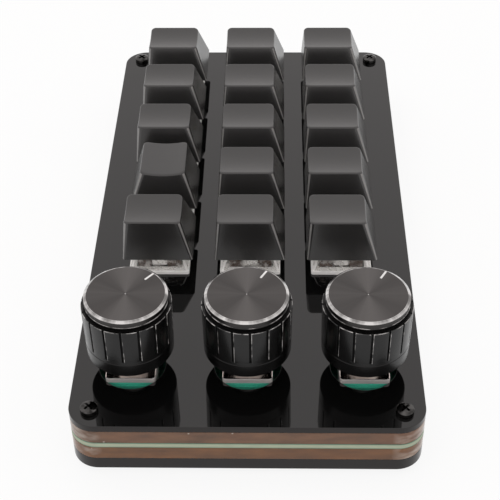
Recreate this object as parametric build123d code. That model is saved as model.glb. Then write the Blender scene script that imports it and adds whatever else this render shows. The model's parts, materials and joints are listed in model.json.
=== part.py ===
from build123d import *
from math import cos, hypot, pi, sin, sqrt
import os

# A keypad of fifteen keys and three push-and-turn knobs on a layered acrylic case.
# Millimetres, +Z up, +Y away from the knobs, origin on the table under the case's centre.

# Case layers, from the table up
case_width = 83.0
case_length = 160.0
corner_radius = 6.5
foot_height = 2.0
foot_diameter = 8.0
foot_inset_x = 12.0
foot_inset_y = 14.0
bottom_plate_t = 3.5
lower_spacer_t = 3.8
board_t = 1.6
upper_spacer_t = 3.8
top_plate_t = 1.8
spacer_wall = 4.0
spacer_pad_reach = 4.6

# Fasteners in the four corners
screw_inset = 5.0
screw_diameter = 2.0
screw_bite = 3.2
screw_head_diameter = 4.2
screw_head_height = 1.6
screw_dome = 0.5
screw_slot_length = 2.5
screw_slot_width = 0.6
screw_slot_angle = 45.0
screw_slot_depth = 0.9
bottom_head_height = 1.3
standoff_diameter = 3.6
thread_clearance = 0.03
hole_clearance = 0.12

# Key grid, as shares of the case's width and length, with the rows measured from its front edge
column_count = 3
row_count = 5
column_share = 0.2843
row_share = 0.13
front_row_share = 0.375
column_pitch = column_share * case_width
row_pitch = row_share * case_length
front_row_y = front_row_share * case_length
key_travel = 4.0

# Switches
switch_cutout = 14.0
cutout_fit = 0.05
flange_size = 15.6
flange_t = 1.0
housing_wall = 1.0
housing_floor = 1.2
housing_height = 6.6
housing_foot_size = 14.8
housing_waist_size = 12.8
housing_waist_height = 4.4
housing_crown_size = 10.6
boss_diameter = 4.0
boss_overhang = 1.0
boss_floor = 0.8
slider_length = 7.0
slider_width = 5.6
slider_fit = 0.15
shoulder_length = 9.0
shoulder_width = 7.6
shoulder_t = 3.0
shoulder_play = 0.1
pole_diameter = 2.6
pole_fit = 0.1
pole_engagement = 0.6
bottom_play = 0.4
well_wall = 0.5
cross_arm = 4.0
cross_t = 1.2
cross_height = 3.6
spring_wire = 0.36
spring_diameter = 4.8
spring_turns = 6
spring_fit = 0.2
spring_pocket_depth = 1.5
spring_end_gap = 0.05
gap_steps = 48
leaf_width = 2.6
leaf_t = 0.3
leaf_gap = 1.4
leaf_wall_gap = 0.45
leaf_rise = 1.0
pin_width = 0.8
pin_overhang = 1.0
pin_fit = 0.1
pin_hole_clearance = 0.2

# Keycaps, which leave a gap between neighbours
cap_gap = 2.7
cap_draw_length = 3.7
cap_draw_width = 6.3
cap_base = min(column_pitch, row_pitch) - cap_gap
cap_base_radius = 1.0
cap_top_length = cap_base - cap_draw_length
cap_top_width = cap_base - cap_draw_width
cap_top_radius = 1.8
cap_top_shift = -1.25
cap_height = 9.9
cap_floor_gap = 0.9
cap_wall = 1.3
cap_roof = 1.3
cap_inner_radius = 0.5
cap_dish_sag = 0.75
cap_trim = 0.6
post_diameter = 5.5
post_lift = 0.2
post_fit = 0.02
turned_cap = (4, 1)
turned_cap_angle = -90.0

# Rotary encoders, placed as shares of the case in the same way
knob_count = 3
knob_share = 0.3337
knob_row_share = 0.12375
knob_pitch = knob_share * case_width
knob_row_y = knob_row_share * case_length
knob_hole_diameter = 16.0
push_travel = 0.5
encoder_width = 11.1
encoder_depth = 11.8
encoder_corner = 0.7
encoder_base_height = 5.5
encoder_floor = 1.4
cover_t = 1.4
leg_t = 0.4
leg_width = 6.0
tab_width = 2.0
tab_overhang = 0.6
tab_slot_clearance = 0.2
bushing_diameter = 7.0
bushing_height = 4.7
shaft_diameter = 6.0
shaft_fit = 0.05
shaft_flat = 1.5
shaft_engagement = 8.3
drive_diameter = 4.4
drive_across = 3.4
drive_fit = 0.05
rotor_diameter = 9.2
rotor_t = 2.8
rotor_hub_diameter = 7.0
rotor_fit = 0.2
rotor_play = 0.1
rotor_ledge = 0.8
dome_diameter = 4.0
dome_crown_diameter = 2.0
dome_height = 0.5
dome_rim_t = 0.15
dome_gap = 0.05

# Knobs
knob_height = 16.7
knob_skirt_height = 14.0
knob_foot_diameter = 20.6
knob_skirt_diameter = 21.0
knob_rim = 0.25
knob_neck_diameter = 18.6
knob_neck_height = 0.7
knob_wall = 1.5
knob_roof = 2.6
knob_play = 0.7
knob_boss_diameter = 9.6
knob_boss_recess = 0.6
knob_bore_fit = 0.02
knob_tip_gap = 0.1
groove_count = 16
groove_width = 0.42
groove_depth = 0.4
groove_foot = 4.6
seam_height = 3.6
seam_size = 0.12
disc_diameter = 19.4
disc_band_height = 1.55
disc_chamfer = 0.58
disc_spigot_diameter = 16.0
disc_spigot_depth = 1.0
disc_spigot_fit = 0.05
disc_dimple_radius = 0.25
disc_dimple_depth = 0.12
index_length = 2.8
index_width = 0.5
index_depth = 0.2
index_edge_gap = 0.1
knob_turns = (-2.5, 5.2, 3.0)
index_angles = (49.0, 60.0, 60.0)

# Socket and controller under the board
usb_width = 8.9
usb_height = 3.2
usb_depth = 7.3
usb_radius = 1.2
usb_wall = 0.3
usb_back = 1.0
usb_tongue_width = 6.7
usb_tongue_t = 0.7
usb_tongue_depth = 4.5
usb_setback = 0.3
usb_rows_up = 1.5
usb_window_clearance = 0.3
chip_size = 7.0
chip_t = 1.2
chip_standoff = 0.1
lead_count = 8
lead_pitch = 0.8
lead_width = 0.4
lead_length = 1.0
lead_t = 0.2

# Levels, from the table up
z_bottom = foot_height
z_lower_spacer = z_bottom + bottom_plate_t
z_board = z_lower_spacer + lower_spacer_t
z_board_top = z_board + board_t
z_top_plate = z_board_top + upper_spacer_t
z_plate = z_top_plate + top_plate_t
z_flange = z_plate + flange_t
z_housing = z_plate + housing_height
z_ceiling = z_housing - housing_wall
z_floor = z_board_top + housing_floor
z_well_floor = z_board - boss_overhang + boss_floor
z_pole = z_well_floor + key_travel + bottom_play
z_well = z_pole + pole_engagement
z_shoulder_top = z_ceiling - shoulder_play
z_shoulder = z_shoulder_top - shoulder_t
z_pocket = z_shoulder + spring_pocket_depth
z_cap = z_plate + flange_t + cap_floor_gap + key_travel
z_cover = z_board_top + encoder_base_height
z_bushing = z_cover + cover_t
z_bushing_top = z_bushing + bushing_height
z_knob_boss = z_bushing_top + push_travel + knob_play
z_knob = z_knob_boss - knob_boss_recess
z_shaft_tip = z_knob_boss + shaft_engagement
z_encoder_floor = z_board_top + encoder_floor
z_dome_top = z_encoder_floor + dome_height
z_shaft_foot = z_dome_top + dome_gap
z_rotor_ledge = z_encoder_floor + rotor_ledge
z_rotor = z_rotor_ledge + rotor_play
z_rotor_top = z_rotor + rotor_t
z_hub_top = z_cover - rotor_play
z_shaft_shoulder = z_hub_top + push_travel + 2 * rotor_play
z_neck = z_knob + knob_skirt_height
z_disc = z_neck + knob_neck_height
z_knob_top = z_knob + knob_height

# Places in plan
front_y = -case_length / 2
screw_x = case_width / 2 - screw_inset
screw_y = case_length / 2 - screw_inset
knob_y = front_y + knob_row_y
chip_y = front_y + (knob_row_y + front_row_y) / 2
usb_y = front_y + front_row_y + usb_rows_up * row_pitch
corner_places = [(sx * screw_x, sy * screw_y) for sx in (-1, 1) for sy in (-1, 1)]
key_places = {}
for row in range(1, row_count + 1):
    for column in range(1, column_count + 1):
        key_x = (column - (column_count + 1) / 2) * column_pitch
        key_y = front_y + front_row_y + (row_count - row) * row_pitch
        key_places[(row, column)] = (key_x, key_y)
knob_places = [((n - (knob_count - 1) / 2) * knob_pitch, knob_y) for n in range(knob_count)]

BASE = (Align.CENTER, Align.CENTER, Align.MIN)


def block(length, width, low, high):
    """Upright box centred on the axis, between two levels."""
    return Pos(0, 0, low) * Box(length, width, high - low, align=BASE)


def rod(diameter, low, high):
    """Upright cylinder on the axis, between two levels."""
    return Pos(0, 0, low) * Cylinder(diameter / 2, high - low, align=BASE)


def slab(sketch, low, high):
    """Flat sketch thickened between two levels."""
    return Pos(0, 0, low) * extrude(sketch, high - low)


def stack(sections):
    """Tapered solid through sketches given with their levels."""
    return loft([Pos(0, 0, level) * sketch for sketch, level in sections], ruled=True)


def turned(points):
    """Solid of revolution about Z from radius and level pairs."""
    return revolve(Plane.XZ * make_face(Polyline(points, close=True)), Axis.Z)


def copies(shape, places):
    """The same shape at each place in plan."""
    return [Pos(x, y, 0) * shape for x, y in places]


def case_outline():
    """Outline that every layer of the case shares."""
    return RectangleRounded(case_width, case_length, corner_radius)


def make_top_plate():
    """Black cover sheet with a cut-out for each switch and encoder."""
    plate = slab(case_outline(), z_top_plate, z_plate)
    cutout = block(switch_cutout, switch_cutout, z_top_plate, z_plate)
    hole = rod(knob_hole_diameter, z_top_plate, z_plate)
    screw_hole = rod(screw_diameter + 2 * hole_clearance, z_top_plate, z_plate)
    cuts = copies(cutout, key_places.values()) + copies(hole, knob_places)
    return plate - (cuts + copies(screw_hole, corner_places))


def make_spacer(low, high):
    """Clear frame with a square pad at each corner for its standoff."""
    inner_width = case_width - 2 * spacer_wall
    inner_length = case_length - 2 * spacer_wall
    window = Rectangle(inner_width, inner_length)
    for x, y in corner_places:
        pad_edge = screw_inset - spacer_wall + spacer_pad_reach
        corner_x = (inner_width / 2 - pad_edge / 2) * (1 if x > 0 else -1)
        corner_y = (inner_length / 2 - pad_edge / 2) * (1 if y > 0 else -1)
        window -= Pos(corner_x, corner_y) * Rectangle(pad_edge, pad_edge)
    frame = slab(case_outline() - window, low, high)
    standoff_hole = rod(standoff_diameter + 2 * hole_clearance, low, high)
    return frame - copies(standoff_hole, corner_places)


def make_lower_spacer():
    """Lower frame, notched on its left side for the socket."""
    notch = block(2 * usb_depth, usb_width + 2 * usb_window_clearance, z_lower_spacer, z_board)
    return make_spacer(z_lower_spacer, z_board) - Pos(-case_width / 2, usb_y, 0) * notch


def leaf_x(side):
    """Place of a contact's middle along the switch."""
    return side * (leaf_gap + leaf_width) / 2


def leaf_y():
    """Place of the contacts across the switch."""
    inner = switch_cutout / 2 - cutout_fit - housing_wall
    return inner - leaf_wall_gap - leaf_t / 2


def make_board():
    """Circuit board with holes for bosses, pins, tabs and standoffs."""
    board = slab(case_outline(), z_board, z_board_top)
    boss_hole = rod(boss_diameter + 2 * hole_clearance, z_board, z_board_top)
    pin_hole = rod(hypot(pin_width, leaf_t) + 2 * pin_hole_clearance, z_board, z_board_top)
    slot_t = leg_t + 2 * tab_slot_clearance
    slot = block(slot_t, tab_width + 2 * tab_slot_clearance, z_board, z_board_top)
    standoff_hole = rod(standoff_diameter + 2 * hole_clearance, z_board, z_board_top)
    cuts = copies(standoff_hole, corner_places)
    for x, y in key_places.values():
        cuts.append(Pos(x, y, 0) * boss_hole)
        for side in (-1, 1):
            cuts.append(Pos(x + leaf_x(side), y + leaf_y(), 0) * pin_hole)
    for x, y in knob_places:
        for side in (-1, 1):
            cuts.append(Pos(x + side * (encoder_width + leg_t) / 2, y, 0) * slot)
    return board - cuts


def make_bottom_plate():
    """Thick black base sheet."""
    plate = slab(case_outline(), z_bottom, z_lower_spacer)
    screw_hole = rod(screw_diameter + 2 * hole_clearance, z_bottom, z_lower_spacer)
    return plate - copies(screw_hole, corner_places)


def cross_recess(low, high):
    """Cross that a driver turns, cut between two levels."""
    cross = block(screw_slot_length, screw_slot_width, low, high)
    cross += block(screw_slot_width, screw_slot_length, low, high)
    return Rot(0, 0, screw_slot_angle) * cross


def make_top_screw():
    """Domed pan-head screw with a cross recess, driven down into its standoff."""
    head_r = screw_head_diameter / 2
    crown = z_plate + screw_head_height
    side = crown - screw_dome
    dome_r = (head_r ** 2 + screw_dome ** 2) / (2 * screw_dome)
    half_way = (head_r / 2, crown - dome_r + sqrt(dome_r ** 2 - head_r ** 2 / 4))
    edges = [Polyline((0, crown), (0, z_plate), (head_r, z_plate), (head_r, side))]
    edges.append(ThreePointArc((head_r, side), half_way, (0, crown)))
    head = revolve(Plane.XZ * make_face(edges), Axis.Z)
    recess = cross_recess(crown - screw_slot_depth, crown)
    return rod(screw_diameter, z_top_plate - screw_bite, z_plate) + head - recess


def make_bottom_screw():
    """Flat-faced screw that holds the base sheet to its standoff."""
    face = z_bottom - bottom_head_height
    head = rod(screw_head_diameter, face, z_bottom)
    recess = cross_recess(face, face + screw_slot_depth)
    return rod(screw_diameter, z_bottom, z_lower_spacer + screw_bite) + head - recess


def make_standoff():
    """Threaded sleeve that runs from the base sheet to the cover sheet."""
    sleeve = rod(standoff_diameter, z_lower_spacer, z_top_plate)
    return sleeve - rod(screw_diameter + 2 * thread_clearance, z_lower_spacer, z_top_plate)


def make_foot():
    """Stick-on rubber foot."""
    return rod(foot_diameter, 0, foot_height)


def make_lower_housing():
    """Clear base of a switch, clipped in the cover sheet and seated on the board."""
    body_size = switch_cutout - 2 * cutout_fit
    inner_size = body_size - 2 * housing_wall
    well_bore = pole_diameter + 2 * pole_fit
    housing = block(body_size, body_size, z_board_top, z_plate)
    housing += block(flange_size, flange_size, z_plate, z_flange)
    housing -= block(inner_size, inner_size, z_floor, z_flange)
    housing += rod(boss_diameter, z_board - boss_overhang, z_board_top)
    housing += rod(well_bore + 2 * well_wall, z_board_top, z_well)
    housing -= rod(well_bore, z_well_floor, z_well)
    slot = block(pin_width + 2 * pin_fit, leaf_t + 2 * pin_fit, z_board_top, z_floor)
    return housing - [Pos(leaf_x(side), leaf_y(), 0) * slot for side in (-1, 1)]


def make_upper_housing():
    """Clear cover of a switch, with a window for the slider."""
    z_waist = z_plate + housing_waist_height
    share = (z_ceiling - z_waist) / (z_housing - z_waist)
    ceiling_size = housing_waist_size + share * (housing_crown_size - housing_waist_size)
    outer = stack([(Rectangle(size, size), level) for size, level in (
        (housing_foot_size, z_flange), (housing_waist_size, z_waist), (housing_crown_size, z_housing))])
    inner = stack([(Rectangle(size - 2 * housing_wall, size - 2 * housing_wall), level) for size, level in (
        (housing_foot_size, z_flange), (housing_waist_size, z_waist), (ceiling_size, z_ceiling))])
    window = block(slider_length + 2 * slider_fit, slider_width + 2 * slider_fit, z_ceiling, z_housing)
    return outer - inner - window


def make_contact(side):
    """Contact leaf with its pin through the switch's floor and the board."""
    leaf = block(leaf_width, leaf_t, z_floor, z_flange + leaf_rise)
    pin = block(pin_width, leaf_t, z_board - pin_overhang, z_floor)
    return Pos(leaf_x(side), leaf_y(), 0) * (leaf + pin)


def spring_point(turn):
    """Point of the spring's centre line after a number of turns."""
    low = z_floor + spring_end_gap + spring_wire / 2
    high = z_pocket - spring_end_gap - spring_wire / 2
    angle = 2 * pi * turn
    radius = spring_diameter / 2
    return Vector(radius * cos(angle), radius * sin(angle), low + (high - low) * turn / spring_turns)


def spring_tangent(turn):
    """Direction of the spring's centre line after a number of turns."""
    lead = spring_point(1).Z - spring_point(0).Z
    angle = 2 * pi * turn
    reach = pi * spring_diameter
    return Vector(-reach * sin(angle), reach * cos(angle), lead).normalized()


def biarc(start, start_tangent, end, end_tangent):
    """Two arcs that join two points and leave and arrive along the tangents."""
    chord = end - start
    both = start_tangent + end_tangent
    a = both.dot(both) - 4
    b = -2 * chord.dot(both)
    c = chord.dot(chord)
    reach = (-b - sqrt(b * b - 4 * a * c)) / (2 * a)
    middle = (start + start_tangent * reach + end - end_tangent * reach) * 0.5
    first = TangentArc(start, middle, tangent=start_tangent)
    second = TangentArc(middle, end, tangent=first % 1)
    return [first, second]


def make_spring():
    """Return spring under the slider, one unbroken wire."""
    edges = []
    for half in range(2 * spring_turns):
        start, end = half / 2, (half + 1) / 2
        edges += biarc(spring_point(start), spring_tangent(start), spring_point(end), spring_tangent(end))
    path = Wire([edge.edge() for edge in edges])
    section = Plane(origin=spring_point(0), z_dir=spring_tangent(0)) * Circle(spring_wire / 2)
    return sweep(section, path=path)


def spring_least_gap():
    """Least gap between neighbouring turns, measured on points of the centre line."""
    points = [spring_point(n / gap_steps) for n in range(spring_turns * gap_steps + 1)]
    apart = [(a - b).length for n, a in enumerate(points) for b in points[n + gap_steps // 2:]]
    return min(apart) - spring_wire


def make_cross(fit):
    """Cross that keys the cap to the slider."""
    length = cross_arm + 2 * fit
    width = cross_t + 2 * fit
    top = z_housing + cross_height
    return block(length, width, z_housing, top) + block(width, length, z_housing, top)


def make_stem():
    """Slider of a switch: cross, guided block, shoulder and pole."""
    stem = block(slider_length, slider_width, z_shoulder_top, z_housing)
    stem += block(shoulder_length, shoulder_width, z_shoulder, z_shoulder_top)
    stem -= rod(spring_diameter + spring_wire + 2 * spring_fit, z_shoulder, z_pocket)
    stem += rod(pole_diameter, z_pole, z_pocket)
    return stem + make_cross(0)


def cap_taper(inset, top_radius, base_radius, top_level):
    """Tapered block of a cap, drawn in all round by an inset."""
    share = top_level / cap_height
    base = cap_base - 2 * inset
    length = base + share * (cap_top_length - cap_base)
    width = base + share * (cap_top_width - cap_base)
    foot = RectangleRounded(base, base, base_radius)
    head = Pos(share * cap_top_shift, 0) * RectangleRounded(length, width, top_radius)
    return Pos(0, 0, z_cap) * stack([(foot, 0), (head, top_level)])


def make_keycap():
    """Hollow keycap with a dished top, a steep face to -X and a gentle one to +X."""
    dish_radius = (cap_top_width ** 2 / 4 + cap_dish_sag ** 2) / (2 * cap_dish_sag)
    dish_axis = z_cap + cap_height - cap_dish_sag + dish_radius
    dish = Pos(0, 0, dish_axis) * Rot(0, 90, 0) * Cylinder(dish_radius, 2 * cap_base)
    roof_level = cap_height - cap_dish_sag - cap_roof
    cap = cap_taper(0, cap_top_radius, cap_base_radius, cap_height + cap_trim) - dish
    cap -= cap_taper(cap_wall, cap_inner_radius, cap_inner_radius, roof_level)
    post = rod(post_diameter, z_housing + post_lift, z_cap + roof_level)
    return cap + post - make_cross(post_fit)


def encoder_plan(width, depth):
    """Square plan with cut corners."""
    return chamfer(Rectangle(width, depth).vertices(), encoder_corner)


def make_encoder_base():
    """Green plastic base of an encoder with a stepped well for its rotor."""
    base = slab(encoder_plan(encoder_width, encoder_depth), z_board_top, z_cover)
    base -= rod(rotor_diameter + 2 * rotor_fit, z_rotor_ledge, z_cover)
    return base - rod(rotor_hub_diameter, z_encoder_floor, z_rotor_ledge)


def make_encoder_cover():
    """Folded metal cover with its bushing, side legs and board tabs."""
    cover_width = encoder_width + 2 * leg_t
    cover = slab(encoder_plan(cover_width, encoder_depth), z_cover, z_bushing)
    cover += rod(bushing_diameter, z_cover, z_bushing_top)
    for side in (-1, 1):
        leg = block(leg_t, leg_width, z_board_top, z_cover)
        leg += block(leg_t, tab_width, z_board - tab_overhang, z_board_top)
        cover += Pos(side * (encoder_width + leg_t) / 2, 0, 0) * leg
    return cover - rod(shaft_diameter + 2 * shaft_fit, z_cover, z_bushing_top)


def make_push_dome():
    """Snap dome under the shaft that closes when the knob is pushed."""
    rim = rod(dome_diameter, z_encoder_floor, z_encoder_floor + dome_rim_t)
    crown = Cone(dome_diameter / 2, dome_crown_diameter / 2, dome_height - dome_rim_t, align=BASE)
    return rim + Pos(0, 0, z_encoder_floor + dome_rim_t) * crown


def drive_section(fit, low, high):
    """Round bar with two flats that turns the rotor."""
    bar = rod(drive_diameter + 2 * fit, low, high)
    return bar & block(drive_diameter + 4 * fit, drive_across + 2 * fit, low, high)


def make_rotor():
    """Turning disc of an encoder, keyed to the shaft."""
    rotor = rod(rotor_diameter, z_rotor, z_rotor_top) + rod(rotor_hub_diameter, z_rotor_top, z_hub_top)
    return rotor - drive_section(drive_fit, z_rotor, z_hub_top)


def flatted_rod(fit, low, high):
    """Shaft end with one flat."""
    bar = rod(shaft_diameter + 2 * fit, low, high)
    flat_x = shaft_diameter / 2 - shaft_flat + fit
    return bar - Pos(flat_x + shaft_diameter / 2, 0, 0) * block(shaft_diameter, 2 * shaft_diameter, low, high)


def make_shaft():
    """Encoder shaft: flats below for the rotor, one flat above for the knob."""
    shaft = drive_section(0, z_shaft_foot, z_shaft_shoulder)
    shaft += rod(shaft_diameter, z_shaft_shoulder, z_knob_boss)
    return shaft + flatted_rod(0, z_knob_boss, z_shaft_tip)


def make_knob_body():
    """Moulded knob: fluted skirt, hollow underside and a flatted bore."""
    foot_r = knob_foot_diameter / 2
    skirt_r = knob_skirt_diameter / 2
    neck_r = knob_neck_diameter / 2
    roof_low = z_neck - knob_roof
    body = turned([(0, z_knob), (foot_r, z_knob), (skirt_r, z_neck - knob_rim), (skirt_r - knob_rim, z_neck),
                   (neck_r, z_neck), (neck_r, z_disc), (0, z_disc)])
    hollow = rod(knob_foot_diameter - 2 * knob_wall, z_knob, roof_low)
    body -= hollow - rod(knob_boss_diameter, z_knob_boss, roof_low)
    body -= flatted_rod(knob_bore_fit, z_knob_boss, z_shaft_tip + knob_tip_gap)
    body -= rod(disc_spigot_diameter + 2 * disc_spigot_fit, z_disc - disc_spigot_depth, z_disc)
    groove = Pos(skirt_r, 0, 0) * block(2 * groove_depth, groove_width, z_knob + groove_foot, z_neck)
    body -= [Rot(0, 0, n * 360 / groove_count) * groove for n in range(groove_count)]
    seam_level = z_knob + seam_height
    seam_r = foot_r + (skirt_r - foot_r) * seam_height / knob_skirt_height
    seam = turned([(seam_r - seam_size, seam_level), (seam_r + seam_size, seam_level - seam_size),
                   (seam_r + seam_size, seam_level + seam_size)])
    return body - seam


def make_knob_cap(angle):
    """Spun metal disc of a knob with its bright chamfer and index slot."""
    rim_r = disc_diameter / 2
    face_r = rim_r - disc_chamfer
    z_band = z_disc + disc_band_height
    cap = turned([(0, z_disc), (rim_r, z_disc), (rim_r, z_band), (face_r, z_knob_top),
                  (disc_dimple_radius, z_knob_top), (0, z_knob_top - disc_dimple_depth)])
    cap += rod(disc_spigot_diameter, z_disc - disc_spigot_depth, z_disc)
    index_x = face_r - index_edge_gap - index_length / 2
    slot = Pos(index_x, 0, 0) * block(index_length, index_width, z_knob_top - index_depth, z_knob_top)
    return cap - Rot(0, 0, angle) * slot


def make_usb_port():
    """Metal socket shell with its tongue, open to -X under the board."""
    outer = extrude(Plane.YZ * RectangleRounded(usb_width, usb_height, usb_radius), usb_depth)
    mouth = RectangleRounded(usb_width - 2 * usb_wall, usb_height - 2 * usb_wall, usb_radius - usb_wall)
    inner = extrude(Plane.YZ * mouth, usb_depth - usb_back)
    tongue_x = usb_depth - usb_back - usb_tongue_depth / 2
    tongue = Pos(tongue_x, 0, 0) * Box(usb_tongue_depth, usb_tongue_width, usb_tongue_t)
    place = Pos(usb_setback - case_width / 2, usb_y, z_board - usb_height / 2)
    return place * (outer - inner + tongue)


def make_controller_chip():
    """Flat square controller with leads on four sides, soldered under the board."""
    high = z_board - chip_standoff
    chip = block(chip_size, chip_size, high - chip_t, high)
    lead = block(lead_length, lead_width, z_board - lead_t, z_board)
    lead = Pos((chip_size + lead_length) / 2, 0, 0) * lead
    foot = Pos(chip_size / 2, 0, 0) * block(2 * lead_t, lead_width, z_board - chip_t / 2, z_board)
    for quarter in range(4):
        for n in range(lead_count):
            shift = (n - (lead_count - 1) / 2) * lead_pitch
            chip += Rot(0, 0, 90 * quarter) * Pos(0, shift, 0) * (lead + foot)
    return Pos(0, chip_y, 0) * chip


def save(name, shape):
    """Write one node: a single solid or a group of separate solids."""
    solids = shape if isinstance(shape, list) else [shape]
    bodies = [solid for item in solids for solid in item.solids()]
    export_step(bodies[0] if len(bodies) == 1 else Compound(bodies), f"parts/{name}.step")


os.makedirs("parts", exist_ok=True)

# Case
save("top_plate", make_top_plate())
save("upper_spacer", make_spacer(z_board_top, z_top_plate))
save("circuit_board", make_board())
save("lower_spacer", make_lower_spacer())
save("bottom_plate", make_bottom_plate())
save("top_screws", copies(make_top_screw(), corner_places))
save("standoffs", copies(make_standoff(), corner_places))
save("bottom_screws", copies(make_bottom_screw(), corner_places))
foot_x = case_width / 2 - foot_inset_x
foot_y = case_length / 2 - foot_inset_y
save("rubber_feet", copies(make_foot(), [(sx * foot_x, sy * foot_y) for sx in (-1, 1) for sy in (-1, 1)]))
save("usb_port", make_usb_port())
save("controller_chip", make_controller_chip())

# Switches
contacts = [make_contact(side) for side in (-1, 1)]
save("switch_lower_housings", copies(make_lower_housing(), key_places.values()))
save("switch_upper_housings", copies(make_upper_housing(), key_places.values()))
save("switch_contacts", [piece for contact in contacts for piece in copies(contact, key_places.values())])
save("switch_springs", copies(make_spring(), key_places.values()))
print(f"least gap between spring turns {spring_least_gap():.3f} mm")

# Keys
stem = make_stem()
keycap = make_keycap()
for (row, column), (key_x, key_y) in key_places.items():
    angle = turned_cap_angle if (row, column) == turned_cap else 0
    save(f"stem_r{row}c{column}", Pos(key_x, key_y, 0) * stem)
    save(f"keycap_r{row}c{column}", Pos(key_x, key_y, 0) * Rot(0, 0, angle) * keycap)

# Encoders and knobs
save("encoder_bases", copies(make_encoder_base(), knob_places))
save("encoder_covers", copies(make_encoder_cover(), knob_places))
save("encoder_push_domes", copies(make_push_dome(), knob_places))
rotor = make_rotor()
shaft = make_shaft()
knob_body = make_knob_body()
for n, (x, y) in enumerate(knob_places):
    place = Pos(x, y, 0) * Rot(0, 0, knob_turns[n])
    save(f"encoder_rotor_{n + 1}", place * rotor)
    save(f"encoder_shaft_{n + 1}", place * shaft)
    save(f"knob_body_{n + 1}", place * knob_body)
    save(f"knob_cap_{n + 1}", place * make_knob_cap(index_angles[n] - knob_turns[n]))
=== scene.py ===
import cmath
import json
import math
from functools import lru_cache

import bmesh
import bpy
from bpy.props import FloatProperty, FloatVectorProperty, IntProperty, PointerProperty
from mathutils import Matrix, Vector


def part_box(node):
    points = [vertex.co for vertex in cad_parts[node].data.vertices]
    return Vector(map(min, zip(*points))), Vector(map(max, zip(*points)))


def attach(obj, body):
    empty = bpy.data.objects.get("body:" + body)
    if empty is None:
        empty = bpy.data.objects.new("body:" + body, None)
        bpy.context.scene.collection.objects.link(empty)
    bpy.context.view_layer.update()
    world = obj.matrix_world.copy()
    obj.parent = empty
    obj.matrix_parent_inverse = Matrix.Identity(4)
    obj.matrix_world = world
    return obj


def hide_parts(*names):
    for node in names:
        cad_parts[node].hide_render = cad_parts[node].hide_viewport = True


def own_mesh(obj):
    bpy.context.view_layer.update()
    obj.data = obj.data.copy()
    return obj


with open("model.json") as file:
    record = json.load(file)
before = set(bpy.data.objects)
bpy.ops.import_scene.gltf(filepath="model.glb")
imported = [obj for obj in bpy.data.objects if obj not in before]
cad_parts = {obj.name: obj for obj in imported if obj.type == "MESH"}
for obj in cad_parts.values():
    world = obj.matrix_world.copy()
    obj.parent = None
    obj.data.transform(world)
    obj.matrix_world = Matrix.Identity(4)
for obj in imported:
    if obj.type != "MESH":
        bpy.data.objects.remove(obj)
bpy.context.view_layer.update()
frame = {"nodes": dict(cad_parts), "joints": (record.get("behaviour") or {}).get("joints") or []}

bl_info = {
    "name": "Macro Keypad",
    "version": (1, 0, 0),
    "blender": (4, 5, 0),
    "location": "View3D > Sidebar > Keypad",
    "description": "Dresses a keypad of fifteen keys and three knobs on its layered acrylic case",
    "category": "Object",
}

MM = 0.001
TINY = 1e-7
ORIGIN = Vector((0.0, 0.0, 0.0))


# Places and levels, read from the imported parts

@lru_cache(maxsize=None)
def box_of(node):
    """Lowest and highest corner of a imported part."""
    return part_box(node)


def low(node):
    """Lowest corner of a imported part."""
    return box_of(node)[0]


def high(node):
    """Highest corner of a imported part."""
    return box_of(node)[1]


def span_of(node):
    """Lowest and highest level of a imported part."""
    return low(node).z, high(node).z


def middle(node):
    """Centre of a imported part's box."""
    return (low(node) + high(node)) / 2


def numbered(start):
    """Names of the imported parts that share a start, in order."""
    return sorted(name for name in frame["nodes"] if name.startswith(start))


key_tags = [name[len("stem_"):] for name in numbered("stem_")]
key_centres = {tag: middle("stem_" + tag) for tag in key_tags}
knob_tags = [name[len("encoder_shaft_"):] for name in numbered("encoder_shaft_")]
knob_centres = {tag: middle("encoder_rotor_" + tag) for tag in knob_tags}
column_xs = sorted({round(place.x, 5) for place in key_centres.values()})
row_ys = sorted({round(place.y, 5) for place in key_centres.values()})
case_size = high("top_plate") - low("top_plate")
plate_top = high("top_plate").z
flange_top = low("switch_upper_housings").z
housing_top = high("switch_upper_housings").z
board_top = high("circuit_board").z
cap_foot = low("keycap_" + key_tags[0]).z
cap_head = high("keycap_" + key_tags[0]).z
knob_foot = low("knob_body_" + knob_tags[0]).z
disc_foot = high("knob_body_" + knob_tags[0]).z
knob_head = high("knob_cap_" + knob_tags[0]).z


# Settings

def length(name, description, default):
    """A size in millimetres of the real object, kept in metres."""
    return FloatProperty(name=name, description=description, default=default * MM, min=0.0,
                         unit="LENGTH", subtype="DISTANCE", precision=5)


def colour(name, description, default):
    """A colour in linear values."""
    return FloatVectorProperty(name=name, description=description, default=default, size=3,
                               min=0.0, max=1.0, subtype="COLOR")


def number(name, description, default, low_limit=0.0):
    """A plain number."""
    return FloatProperty(name=name, description=description, default=default, min=low_limit)


def angle(name, description, default):
    """An angle, given in degrees."""
    return FloatProperty(name=name, description=description, default=math.radians(default),
                         unit="ROTATION", subtype="ANGLE")


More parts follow.
